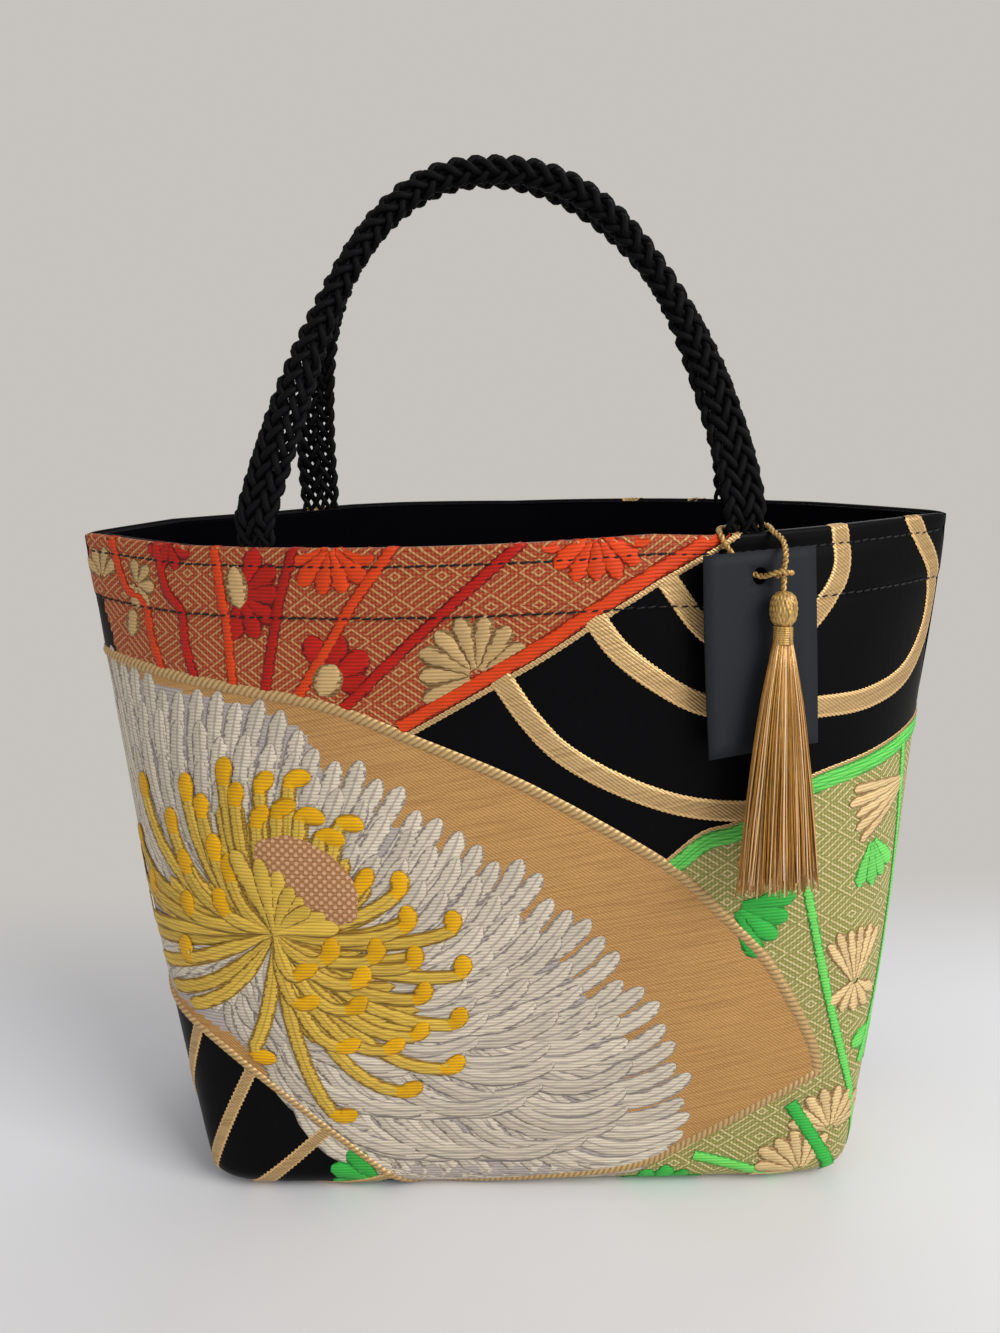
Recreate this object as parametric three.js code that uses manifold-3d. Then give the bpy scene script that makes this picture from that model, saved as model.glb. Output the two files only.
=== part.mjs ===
import * as THREE from 'three';
import { mergeVertices } from 'three/addons/utils/BufferGeometryUtils.js';
import Module from 'manifold-3d';

const wasm = await Module();
wasm.setup();

// Bag body, in millimetres
const BAG_HEIGHT = 222;
const RIM_WIDTH = 286;
const RIM_DEPTH = 100;
const BASE_WIDTH = 220;
const BASE_DEPTH = 100;
const SIDE_BOW = 1.6;
const CORNER_POWER = 0.18;
const MOUTH_POWER = 1.4;
const BOTTOM_RADIUS = 9;

// Cloth layers, from the outside in
const BROCADE_THICKNESS = 1.2;
const INTERLINING_THICKNESS = 1.5;
const LINING_THICKNESS = 0.8;
const BOARD_THICKNESS = 2.5;
const GAP = 0.3;

// Hem stitching
const UPPER_STITCH_DROP = 4.5;
const LOWER_STITCH_DROP = 20;
const THREAD_DIAMETER = 0.8;

// Braided handles
const HANDLE_SPREAD = 148;
const HANDLE_OFFSET = -4.5;
const HANDLE_RISE = 108;
const HANDLE_WIDTH = 14;
const HANDLE_THICKNESS = 5;
const CROWN_WIDTH = 10;
const CROWN_THICKNESS = 9;
const HANDLE_TUCK = 22;
const HANDLE_STUB = 8;
// How square each half of an arch hangs, and how far its crown has slid along, as on the front
const FRONT_ARCH = { left: 1.32, right: 1.32, crown: 0 };
const BACK_ARCH = { left: 1.8, right: 3, crown: 8 };

// Tassel and its cord
const CORD_DIAMETER = 1.8;
const HITCH_DROP = 8.6;
const HITCH_ASIDE = 5;
const HEAD_DIAMETER = 8.6;
const HEAD_LENGTH = 10.2;
const NECK_LENGTH = 5.8;
const NECK_DIAMETER = 5.2;
const SKIRT_LENGTH = 74;
const SKIRT_WIDTH = 29;
const SKIRT_DEPTH = 12;
const TASSEL_TILT = 4;

// Swing tag
const TAG_WIDTH = 38;
const TAG_HEIGHT = 61;
const TAG_THICKNESS = 0.8;
const TAG_HOLE_DIAMETER = 5.2;
const TAG_HOLE_INSET = 7.5;
const TAG_OFFSET = 1.5;

const lerp = THREE.MathUtils.lerp;
const RING_POINTS = 56;

// Section of the bag at a height: a rounded box at the base that closes to a pointed
// oval at the rim, with the sides bowed a little outwards on the way up
function sectionAt(z, inset) {
  const t = Math.min(1, Math.max(0, z / BAG_HEIGHT));
  const spread = 1 - Math.pow(1 - t, SIDE_BOW);
  const halfX = lerp(BASE_WIDTH, RIM_WIDTH, spread) / 2;
  const halfY = lerp(BASE_DEPTH, RIM_DEPTH, t) / 2;
  const tip = lerp(1, Math.hypot(1, halfX / (2 * halfY)), t);
  const closing = Math.pow(t, MOUTH_POWER);
  const powX = lerp(CORNER_POWER, 1, closing);
  const powY = lerp(CORNER_POWER, 2, closing);
  return { a: halfX - inset * tip, b: halfY - inset, powX, powY };
}

function signedPower(value, power) {
  if (Math.abs(value) < 1e-9) return 0;
  return Math.sign(value) * Math.pow(Math.abs(value), power);
}

function wallPoint(angle, z, inset) {
  const s = sectionAt(z, inset);
  const x = s.a * signedPower(Math.cos(angle), s.powX);
  const y = s.b * signedPower(Math.sin(angle), s.powY);
  return new THREE.Vector3(x, y, z);
}

// Point of the front wall at a given x
function frontAt(x, z, inset) {
  const s = sectionAt(z, inset);
  const c = Math.pow(Math.min(1, Math.abs(x) / s.a), 1 / s.powX);
  const y = s.b * Math.pow(Math.sqrt(Math.max(0, 1 - c * c)), s.powY);
  return new THREE.Vector3(x, -y, z);
}

function weld(geometry) {
  geometry.deleteAttribute('normal');
  geometry.deleteAttribute('uv');
  return mergeVertices(geometry, 1e-4);
}

// Closed skin over a stack of rings, each end closed by a fan
function loft(rings) {
  const count = rings[0].length;
  const positions = [];
  const index = [];
  for (const ring of rings) {
    for (const p of ring) positions.push(p.x, p.y, p.z);
  }
  for (let r = 0; r < rings.length - 1; r += 1) {
    for (let i = 0; i < count; i += 1) {
      const a = r * count + i;
      const b = r * count + ((i + 1) % count);
      index.push(a, b, b + count);
      index.push(a, b + count, a + count);
    }
  }
  const ends = [rings[0], rings[rings.length - 1]];
  ends.forEach((ring, e) => {
    const centre = new THREE.Vector3();
    for (const p of ring) centre.add(p);
    centre.divideScalar(count);
    const hub = positions.length / 3;
    positions.push(centre.x, centre.y, centre.z);
    const base = e === 0 ? 0 : (rings.length - 1) * count;
    for (let i = 0; i < count; i += 1) {
      const a = base + i;
      const b = base + ((i + 1) % count);
      if (e === 0) index.push(hub, b, a);
      else index.push(hub, a, b);
    }
  });
  const geometry = new THREE.BufferGeometry();
  geometry.setAttribute('position', new THREE.Float32BufferAttribute(positions, 3));
  geometry.setIndex(index);
  return geometry;
}

function toManifold(geometry) {
  const vertProperties = new Float32Array(geometry.attributes.position.array);
  const triVerts = new Uint32Array(geometry.index.array);
  return new wasm.Manifold(new wasm.Mesh({ numProp: 3, vertProperties, triVerts }));
}

function fromManifold(solid) {
  const mesh = solid.getMesh();
  const geometry = new THREE.BufferGeometry();
  geometry.setAttribute('position', new THREE.Float32BufferAttribute(mesh.vertProperties, 3));
  geometry.setIndex(Array.from(mesh.triVerts));
  return geometry;
}

// Bag-shaped solid, set in from the outer skin, standing on its own floor
function bagSolid(inset, floor, top) {
  const rings = [];
  const radius = Math.max(2, BOTTOM_RADIUS - inset);
  const ringAt = (z, d) => {
    const ring = [];
    for (let i = 0; i < RING_POINTS; i += 1) {
      ring.push(wallPoint((2 * Math.PI * i) / RING_POINTS, z, d));
    }
    return ring;
  };
  for (let i = 0; i < 3; i += 1) {
    const turn = (Math.PI / 2) * (i / 3);
    const z = floor + radius * (1 - Math.cos(turn));
    rings.push(ringAt(z, inset + radius * (1 - Math.sin(turn))));
  }
  const start = floor + radius;
  const steps = 7;
  for (let i = 0; i <= steps; i += 1) rings.push(ringAt(lerp(start, BAG_HEIGHT, i / steps), inset));
  if (top > BAG_HEIGHT) rings.push(ringAt(top, inset));
  return toManifold(loft(rings));
}

function boxSolid(x0, y0, z0, x1, y1, z1) {
  const box = new THREE.BoxGeometry(x1 - x0, y1 - y0, z1 - z0);
  box.translate((x0 + x1) / 2, (y0 + y1) / 2, (z0 + z1) / 2);
  return toManifold(weld(box));
}

const reach = Math.max(RIM_WIDTH, BASE_WIDTH, RIM_DEPTH, BASE_DEPTH) + 50;
const frontHalf = boxSolid(-reach, -reach, -reach, reach, -GAP / 2, reach * 2);
const backHalf = boxSolid(-reach, GAP / 2, -reach, reach, reach, reach * 2);

// One cloth layer of the bag, between two insets
function layer(outer, outerFloor, thickness) {
  const solid = bagSolid(outer, outerFloor, BAG_HEIGHT);
  const hollow = bagSolid(outer + thickness, outerFloor + thickness, BAG_HEIGHT + 5);
  return solid.subtract(hollow);
}

const interliningInset = BROCADE_THICKNESS + GAP;
const liningInset = interliningInset + INTERLINING_THICKNESS + GAP;
const boardFloor = liningInset;
const liningFloor = boardFloor + BOARD_THICKNESS + GAP;

// Handle legs stand beside the middle of the wall thickness
const legX = HANDLE_OFFSET + HANDLE_SPREAD / 2;
const leftLegX = HANDLE_OFFSET - HANDLE_SPREAD / 2;
const tuckOuter = interliningInset;
const tuckInner = interliningInset + INTERLINING_THICKNESS;
const legInset = (tuckOuter + tuckInner) / 2;
function slopeAt(x, inset) {
  const p = frontAt(x - 1, BAG_HEIGHT, inset);
  const q = frontAt(x + 1, BAG_HEIGHT, inset);
  return Math.atan2(q.y - p.y, q.x - p.x);
}
const legHalfX = (HANDLE_WIDTH / 2) * Math.cos(slopeAt(legX, legInset));

const brocade = layer(0, 0, BROCADE_THICKNESS);
const lining = layer(liningInset, liningFloor, LINING_THICKNESS);
let interlining = layer(interliningInset, interliningInset, INTERLINING_THICKNESS);
for (const x of [leftLegX, legX]) {
  const half = legHalfX + GAP;
  const z0 = BAG_HEIGHT - HANDLE_TUCK - GAP;
  const z1 = BAG_HEIGHT + 10;
  interlining = interlining.subtract(boxSolid(x - half, -reach, z0, x + half, 0, z1));
  interlining = interlining.subtract(boxSolid(-x - half, 0, z0, -x + half, reach, z1));
}

const baseBoard = (() => {
  const rings = [boardFloor, boardFloor + BOARD_THICKNESS].map((z) => {
    const ring = [];
    for (let i = 0; i < RING_POINTS; i += 1) {
      const p = wallPoint((2 * Math.PI * i) / RING_POINTS, boardFloor, BOTTOM_RADIUS + 1);
      ring.push(new THREE.Vector3(p.x, p.y, z));
    }
    return ring;
  });
  return loft(rings);
})();

function roundTube(curve, steps, diameter, sides) {
  const shape = new THREE.Shape();
  for (let i = 0; i < sides; i += 1) {
    const turn = (2 * Math.PI * i) / sides;
    const x = (diameter / 2) * Math.cos(turn);
    const y = (diameter / 2) * Math.sin(turn);
    if (i === 0) shape.moveTo(x, y);
    else shape.lineTo(x, y);
  }
  shape.closePath();
  const options = { steps, extrudePath: curve, bevelEnabled: false, curveSegments: 1 };
  return weld(new THREE.ExtrudeGeometry(shape, options));
}

// Stitch line along the outside of the hem
function stitchLine(drop, side) {
  const points = [];
  const z = BAG_HEIGHT - drop;
  const start = 0.18;
  for (let i = 0; i <= 36; i += 1) {
    const angle = lerp(start, Math.PI - start, i / 36);
    points.push(wallPoint(side * angle, z, -GAP - THREAD_DIAMETER / 2));
  }
  return roundTube(new THREE.CatmullRomCurve3(points), 44, THREAD_DIAMETER, 6);
}

// Flattened end of a handle braid: sewn between brocade and lining, thicker above the rim
function handleEnd(middle) {
  const levels = [-HANDLE_TUCK, -HANDLE_TUCK / 2, 0, HANDLE_STUB / 2, HANDLE_STUB];
  const across = 4;
  const rings = levels.map((level) => {
    const grow = Math.max(0, level) / HANDLE_STUB;
    const half = lerp((tuckInner - tuckOuter) / 2, HANDLE_THICKNESS / 2, grow);
    const z = BAG_HEIGHT + level;
    const ring = [];
    for (let i = 0; i <= across; i += 1) {
      const x = middle + lerp(-legHalfX, legHalfX, i / across);
      ring.push(frontAt(x, z, legInset - half));
    }
    for (let i = across; i >= 0; i -= 1) {
      const x = middle + lerp(-legHalfX, legHalfX, i / across);
      ring.push(frontAt(x, z, legInset + half));
    }
    return ring;
  });
  return loft(rings);
}

// Arch of a handle: flat at the legs, rolled and rounder at the crown
function handleArch(shape) {
  const foot = BAG_HEIGHT + HANDLE_STUB + GAP;
  const rise = HANDLE_RISE - HANDLE_STUB - GAP;
  const rightY = frontAt(legX, foot, legInset).y;
  const leftY = frontAt(leftLegX, foot, legInset).y;
  const crownY = -(CROWN_THICKNESS / 2 + GAP);
  const steps = 36;
  const centres = [];
  for (let i = 0; i <= steps; i += 1) {
    const turn = Math.PI * (i / steps);
    const right = Math.cos(turn) > 0;
    const h = Math.pow(Math.max(0, Math.sin(turn)), 2 / (right ? shape.right : shape.left));
    const x = lerp(shape.crown, right ? legX : leftLegX, Math.pow(Math.abs(Math.cos(turn)), 2 / 2.1));
    const y = lerp(lerp(rightY, leftY, i / steps), crownY, Math.pow(h, 1.15));
    centres.push(new THREE.Vector3(x, y, foot + rise * h));
  }
  centres[0].z = foot;
  centres[steps].z = foot;
  const rings = centres.map((centre, i) => {
    const before = centres[Math.max(0, i - 1)];
    const after = centres[Math.min(steps, i + 1)];
    const tangent = after.clone().sub(before).normalize();
    if (i === 0) tangent.set(0, 0, 1);
    if (i === steps) tangent.set(0, 0, -1);
    const up = Math.min(1, Math.min(i, steps - i) / (steps * 0.28));
    const blend = up * up * (3 - 2 * up);
    const turn = slopeAt(i < steps / 2 ? legX : leftLegX, legInset) * (1 - blend);
    const facing = new THREE.Vector3(-Math.sin(turn), Math.cos(turn), 0);
    const across = facing.clone().cross(tangent).normalize();
    const through = tangent.clone().cross(across).normalize();
    const halfWidth = lerp(HANDLE_WIDTH, CROWN_WIDTH, blend) / 2;
    const halfDepth = lerp(HANDLE_THICKNESS, CROWN_THICKNESS, blend) / 2;
    const corner = lerp(0.55, 0.9, blend);
    const ring = [];
    for (let k = 0; k < 12; k += 1) {
      const angle = (2 * Math.PI * k) / 12;
      const w = halfWidth * signedPower(Math.cos(angle), corner);
      const d = halfDepth * signedPower(Math.sin(angle), corner);
      ring.push(centre.clone().addScaledVector(across, w).addScaledVector(through, d));
    }
    return ring;
  });
  return loft(rings);
}

// The back panel carries the same handle, turned half round
function turnBack(geometry) {
  return geometry.clone().rotateZ(Math.PI);
}

// Frame of the things hanging on the front wall beside the right handle leg:
// along the wall, outward from the wall, and up from the rim
const hangX = legX + TAG_OFFSET;
const hangSlope = slopeAt(hangX, 0);
const along = new THREE.Vector3(Math.cos(hangSlope), Math.sin(hangSlope), 0);
const outward = new THREE.Vector3(Math.sin(hangSlope), -Math.cos(hangSlope), 0);

function hang(a, n, up) {
  const p = frontAt(hangX, BAG_HEIGHT + up, 0);
  return p.addScaledVector(along, a).addScaledVector(outward, n);
}

// Lean of the wall between two depths under the rim
function wallLean(upper, lower) {
  const p = frontAt(hangX, BAG_HEIGHT - upper, 0);
  const q = frontAt(hangX, BAG_HEIGHT - lower, 0);
  return Math.atan2((p.y - q.y) * Math.cos(hangSlope), lower - upper);
}
const tagHoleDrop = HITCH_DROP + 2;
const tagLean = wallLean(tagHoleDrop, tagHoleDrop + TAG_HEIGHT - TAG_HOLE_INSET);

const cordRadius = CORD_DIAMETER / 2;
const stitchProud = GAP + THREAD_DIAMETER;
const strandBehind = stitchProud + GAP + cordRadius;
const tagBack = strandBehind + cordRadius + GAP + 0.3 + TAG_HOLE_INSET * Math.tan(Math.abs(tagLean));
const tagFront = tagBack + TAG_THICKNESS;
const hangOut = tagFront + GAP + Math.max(HEAD_DIAMETER / 2, CORD_DIAMETER * 1.5 + GAP) + 0.5;
const strandGap = legHalfX + GAP + cordRadius + 0.3;
const strandLeft = (legX - strandGap - hangX) / Math.cos(hangSlope);
const strandRight = (legX + strandGap - hangX) / Math.cos(hangSlope);
const loopEnd = HITCH_DROP + CORD_DIAMETER + 0.6;
const dropEnd = loopEnd + GAP + CORD_DIAMETER + 1;

const tasselEnd = dropEnd + HEAD_LENGTH + NECK_LENGTH + SKIRT_LENGTH;
const skirtFlare = Math.atan2(SKIRT_DEPTH * 0.3, SKIRT_LENGTH);
const tasselTilt = TASSEL_TILT * (Math.PI / 180);
const tasselLean = Math.max(wallLean(dropEnd, tasselEnd), tagLean) + skirtFlare;

function cordLoop() {
  const points = [];
  const wrap = CORD_DIAMETER + 0.35;
  for (let i = 0; i <= 9; i += 1) {
    const turn = (330 - (300 * i) / 9) * (Math.PI / 180);
    const a = HITCH_ASIDE - wrap * Math.cos(turn);
    const n = hangOut + wrap * Math.sin(turn);
    points.push(hang(a, n, -HITCH_DROP + 0.4 - (CORD_DIAMETER + 0.5) * (turn / (2 * Math.PI))));
  }
  points.push(hang(lerp(0, HITCH_ASIDE - wrap, 0.52), lerp(tagFront, hangOut, 0.8), -HITCH_DROP - 0.8));
  points.push(hang(0.8, tagFront + cordRadius, -tagHoleDrop));
  points.push(hang(0, (tagFront + tagBack) / 2, -tagHoleDrop));
  points.push(hang(-0.8, tagBack - cordRadius * 0.8, -tagHoleDrop + 0.3));
  points.push(hang(strandLeft * 0.34, strandBehind, -tagHoleDrop * 0.8));
  points.push(hang(strandLeft * 0.7, strandBehind, -tagHoleDrop * 0.42));
  points.push(hang(strandLeft * 0.95, strandBehind, -tagHoleDrop * 0.12));
  const rimClear = BAG_HEIGHT + GAP + cordRadius + 0.4;
  const behindInset = legInset + HANDLE_THICKNESS / 2 + GAP + cordRadius;
  const over = [];
  for (const side of [-1, 1]) {
    const x = legX + side * strandGap;
    over.push([
      frontAt(x, rimClear, -0.4),
      frontAt(x, rimClear + 0.4, legInset),
      frontAt(x - side * 1.4, rimClear + 0.6, behindInset),
    ]);
  }
  points.push(...over[0]);
  points.push(frontAt(legX, rimClear + 0.6, behindInset));
  points.push(over[1][2], over[1][1], over[1][0]);
  points.push(hang(strandRight, lerp(0, hangOut, 0.62), -0.6));
  points.push(hang(lerp(strandRight, HITCH_ASIDE, 0.7), hangOut, -HITCH_DROP * 0.5));
  points.push(hang(HITCH_ASIDE, hangOut, -HITCH_DROP + 0.9));
  points.push(hang(HITCH_ASIDE, hangOut, -loopEnd));
  const curve = new THREE.CatmullRomCurve3(points, false, 'centripetal');
  return roundTube(curve, 80, CORD_DIAMETER, 8);
}

function place(geometry, a, n, up, lean, tilt = 0) {
  const turn = new THREE.Matrix4().makeRotationZ(hangSlope);
  const back = new THREE.Matrix4().makeRotationX(-lean);
  const aside = new THREE.Matrix4().makeRotationY(tilt);
  geometry.applyMatrix4(turn.multiply(back).multiply(aside));
  const p = hang(a, n, up);
  geometry.translate(p.x, p.y, p.z);
  return geometry;
}

function lathe(profile, segments) {
  const points = profile.map(([r, z]) => new THREE.Vector2(r, z));
  const geometry = new THREE.LatheGeometry(points, segments);
  geometry.rotateX(Math.PI / 2);
  return weld(geometry);
}

function cordDrop() {
  const r = cordRadius;
  const h = dropEnd - loopEnd - GAP;
  const profile = [[0, -h], [r, -h], [r, 0], [0, 0]];
  return place(lathe(profile, 10), HITCH_ASIDE, hangOut, -loopEnd - GAP, 0);
}

// Tassel pieces hang from the end of the cord, down the local axis
const headTop = dropEnd + GAP;
const headRadius = HEAD_DIAMETER / 2;
const neckRadius = NECK_DIAMETER / 2;

function tasselHead() {
  const r = headRadius;
  const l = HEAD_LENGTH;
  const profile = [
    [0, -l], [r * 0.6, -l], [r * 0.86, -l * 0.84], [r, -l * 0.55],
    [r * 0.9, -l * 0.3], [r * 0.6, -l * 0.13], [0, 0],
  ];
  return place(lathe(profile, 20), HITCH_ASIDE, hangOut, -headTop, tasselLean, tasselTilt);
}

function neckBinding() {
  const top = -HEAD_LENGTH - GAP;
  const low = top - NECK_LENGTH + 0.4;
  const inner = neckRadius + GAP;
  const outer = inner + 0.9;
  const profile = [[inner, low], [outer, low + 0.5], [outer, top - 0.5], [inner, top], [inner, low]];
  return place(lathe(profile, 20), HITCH_ASIDE, hangOut, -headTop, tasselLean, tasselTilt);
}

function tasselSkirt() {
  const top = -HEAD_LENGTH - GAP;
  const shoulder = top - NECK_LENGTH;
  const rings = [];
  const ringAt = (z, halfWidth, halfDepth) => {
    const ring = [];
    for (let i = 0; i < 20; i += 1) {
      const angle = (2 * Math.PI * i) / 20;
      ring.push(new THREE.Vector3(halfWidth * Math.cos(angle), halfDepth * Math.sin(angle), z));
    }
    return ring;
  };
  const flare = [[1, 1], [0.85, 0.92], [0.62, 0.8], [0.4, 0.65], [0.2, 0.42], [0.07, 0.2]];
  for (const [down, share] of flare) {
    const halfWidth = lerp(neckRadius + 0.3, SKIRT_WIDTH / 2, share);
    const halfDepth = lerp(neckRadius + 0.3, SKIRT_DEPTH / 2, share);
    rings.push(ringAt(shoulder - SKIRT_LENGTH * down, halfWidth, halfDepth));
  }
  rings.push(ringAt(shoulder - 0.3, neckRadius, neckRadius));
  rings.push(ringAt(top, neckRadius, neckRadius));
  return place(loft(rings), HITCH_ASIDE, hangOut, -headTop, tasselLean, tasselTilt);
}

function hangTag() {
  const shape = new THREE.Shape();
  const w = TAG_WIDTH / 2;
  const high = TAG_HOLE_INSET;
  const low = TAG_HOLE_INSET - TAG_HEIGHT;
  shape.moveTo(-w, low);
  shape.lineTo(w, low);
  shape.lineTo(w, high);
  shape.lineTo(-w, high);
  shape.closePath();
  const hole = new THREE.Path();
  hole.absarc(0, 0, TAG_HOLE_DIAMETER / 2, 0, Math.PI * 2, true);
  shape.holes.push(hole);
  const options = { depth: TAG_THICKNESS, bevelEnabled: false, curveSegments: 10 };
  const card = weld(new THREE.ExtrudeGeometry(shape, options));
  card.rotateX(Math.PI / 2);
  return place(card, 0, tagBack, -tagHoleDrop, tagLean);
}

const part = new THREE.Group();
part.name = 'tote_bag';

function add(name, geometry, color, roughness, metalness) {
  const material = new THREE.MeshStandardMaterial({ color, roughness, metalness });
  geometry.computeVertexNormals();
  const mesh = new THREE.Mesh(geometry, material);
  mesh.name = name;
  part.add(mesh);
}

const BROCADE = '#8c6a44';
const BLACK_SATIN = '#1d1a1c';
const CANVAS = '#cfc6b4';
const BOARD = '#4a443d';
const BLACK_BRAID = '#1b191b';
const GOLD = '#c49a4a';

add('front_panel', fromManifold(brocade.intersect(frontHalf)), BROCADE, 0.55, 0.1);
add('back_panel', fromManifold(brocade.intersect(backHalf)), BROCADE, 0.55, 0.1);
add('front_interlining', fromManifold(interlining.intersect(frontHalf)), CANVAS, 0.9, 0);
add('back_interlining', fromManifold(interlining.intersect(backHalf)), CANVAS, 0.9, 0);
add('front_lining', fromManifold(lining.intersect(frontHalf)), BLACK_SATIN, 0.4, 0);
add('back_lining', fromManifold(lining.intersect(backHalf)), BLACK_SATIN, 0.4, 0);
add('base_board', baseBoard, BOARD, 0.85, 0);

add('front_upper_stitch', stitchLine(UPPER_STITCH_DROP, -1), BLACK_SATIN, 0.6, 0);
add('front_lower_stitch', stitchLine(LOWER_STITCH_DROP, -1), BLACK_SATIN, 0.6, 0);
add('back_upper_stitch', stitchLine(UPPER_STITCH_DROP, 1), BLACK_SATIN, 0.6, 0);
add('back_lower_stitch', stitchLine(LOWER_STITCH_DROP, 1), BLACK_SATIN, 0.6, 0);

const leftEnd = handleEnd(leftLegX);
const rightEnd = handleEnd(legX);
add('front_handle', handleArch(FRONT_ARCH), BLACK_BRAID, 0.8, 0);
add('front_handle_left_end', leftEnd, BLACK_BRAID, 0.8, 0);
add('front_handle_right_end', rightEnd, BLACK_BRAID, 0.8, 0);
add('back_handle', turnBack(handleArch(BACK_ARCH)), BLACK_BRAID, 0.8, 0);
add('back_handle_left_end', turnBack(rightEnd), BLACK_BRAID, 0.8, 0);
add('back_handle_right_end', turnBack(leftEnd), BLACK_BRAID, 0.8, 0);

add('tassel_cord_loop', cordLoop(), GOLD, 0.5, 0.25);
add('tassel_cord_drop', cordDrop(), GOLD, 0.5, 0.25);
add('tassel_head', tasselHead(), GOLD, 0.5, 0.25);
add('tassel_neck_binding', neckBinding(), GOLD, 0.5, 0.25);
add('tassel_skirt', tasselSkirt(), GOLD, 0.5, 0.25);
add('hang_tag', hangTag(), '#3b3a3c', 0.75, 0);

export default part;
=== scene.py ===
"""Brocade tote bag, dressed round its CAD frame: woven panels, braided handles, tassel and tag."""

import functools
import math
import random

import bmesh
import bpy
import numpy as np
from bpy.props import FloatProperty, FloatVectorProperty, IntProperty, PointerProperty
from mathutils import Matrix, Vector


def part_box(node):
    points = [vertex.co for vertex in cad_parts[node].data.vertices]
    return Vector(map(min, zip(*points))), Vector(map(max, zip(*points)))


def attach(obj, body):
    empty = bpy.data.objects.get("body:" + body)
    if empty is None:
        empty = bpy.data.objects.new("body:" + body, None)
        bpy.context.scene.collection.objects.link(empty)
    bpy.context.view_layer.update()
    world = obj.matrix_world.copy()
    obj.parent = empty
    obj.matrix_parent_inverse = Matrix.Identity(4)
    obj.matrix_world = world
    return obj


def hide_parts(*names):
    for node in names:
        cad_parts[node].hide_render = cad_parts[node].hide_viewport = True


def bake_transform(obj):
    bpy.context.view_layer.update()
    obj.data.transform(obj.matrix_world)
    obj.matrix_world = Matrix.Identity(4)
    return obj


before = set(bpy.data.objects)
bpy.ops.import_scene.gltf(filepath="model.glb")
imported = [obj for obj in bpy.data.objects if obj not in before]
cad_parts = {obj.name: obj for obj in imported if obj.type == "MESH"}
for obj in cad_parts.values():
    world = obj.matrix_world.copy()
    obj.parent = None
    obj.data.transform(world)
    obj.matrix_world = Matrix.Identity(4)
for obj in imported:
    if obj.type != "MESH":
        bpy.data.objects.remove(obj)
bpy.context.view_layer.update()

bl_info = {
    "name": "Brocade Tote Bag",
    "version": (1, 0, 0),
    "blender": (4, 5, 0),
    "location": "View3D > Sidebar > Tote Bag",
    "description": "Dresses a packed tote bag with woven brocade, braided handles, a tassel and a tag",
    "category": "Add Mesh",
}

MM = 0.001

# Shape of the bag's section, as in the frame
SIDE_BOW = 1.6
CORNER_POWER = 0.18
MOUTH_POWER = 1.4
BOTTOM_RADIUS = 9.0

# Cloth: half the rim from seam to seam, and how the edge is turned in, in mm
HALF_RIM = 154.5
RIM_ROLL = 0.65
HEM_DEPTH = 21.0
HEM_LIFT = 0.5
UPPER_STITCH_DROP = 4.5
LOWER_STITCH_DROP = 20.0
CLOTH_THICKNESS = 0.8
INTERLINING_INSET = 1.6
LINING_INSET = 3.3
LINING_FLOOR = 6.2
LEG_INSET = 2.25

# Camera, from the photograph: place in mm, turns in degrees, focal length in pixels of its frame
CAMERA_PLACE = (0.1, -379.7, 282.2)
CAMERA_YAW = -0.87
CAMERA_PITCH = 16.1
CAMERA_ROLL = -1.57
FOCAL_PIXELS = 1150.0
FRAME_HEIGHT = 1333.0
SENSOR_MM = 36.0

# Layout of the front panel, in mm of cloth: along from the middle, and up from the floor
FAN_TOP = [(-158, 183), (-119, 182), (-83, 178.5), (-57, 174), (-30, 163), (0, 149), (31, 130),
           (49, 117), (62, 103), (75, 88), (85, 71), (93, 54), (96, 43)]
FAN_FOOT = [(96, 43), (77, 32), (55, 19), (36, 9), (0, 3), (-38, -3)]
FAN_SIDE = [(-38, -3), (-60, 19), (-81, 40), (-98, 55), (-109, 62), (-122, 67), (-140, 71), (-158, 73)]
FAN = FAN_TOP + FAN_FOOT[1:] + FAN_SIDE[1:]
RED_EDGE = [(68, 226.5), (43, 213), (25, 203), (7, 192), (-11, 182), (-36, 168)]
RED_LEFT = [(-57, 172), (-83, 177), (-119, 180), (-141, 183), (-149, 203), (-158, 204)]
GREEN_TOP = [(46, 119), (57, 128), (68, 131), (81, 139), (95, 144), (115, 147), (135, 150), (158, 153)]
RED_RIBS = [
    ("orange_silk", [(-141, 224), (-134, 208), (-125, 203), (-122, 193), (-116, 181)]),
    ("red_silk", [(-120, 224), (-115, 209), (-109, 203), (-107, 192), (-103, 181)]),
    ("orange_silk", [(-96, 224), (-93, 209), (-91, 198), (-89, 180)]),
    ("red_silk", [(-67, 224), (-72, 208), (-75, 195), (-78, 179)]),
    ("orange_silk", [(-35, 224), (-49, 206), (-56, 195), (-67, 178)]),
    ("red_silk", [(3, 224), (-16, 208), (-34, 192), (-53, 174)]),
]
GOLD_ARCS = [
    [(-5, 183), (4, 169), (14, 158), (30, 148), (49, 140.5), (69, 137.5), (84, 138)],
    [(23, 200), (31, 189), (43, 179), (57, 172), (76, 169), (95, 168), (115, 168), (135, 173),
     (148, 186), (149, 203), (141, 216), (136, 224)],
    [(45, 210), (57, 195), (70, 189), (84, 190), (97, 199), (105, 210), (105, 224)],
]
BLACK_RIBS = [
    [(-108, 62), (-114, 47), (-121, 30)],
    [(-90, 48), (-101, 27), (-112, 5)],
    [(-67, 25), (-84, 10), (-104, -5)],
]
GREEN_RIBS = [
    [(88, 116), (94, 87), (99, 66), (105, 46), (111, 28), (117, 6)],
    [(134, 151), (132, 120), (128, 92), (122, 66), (113, 42)],
]
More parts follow.
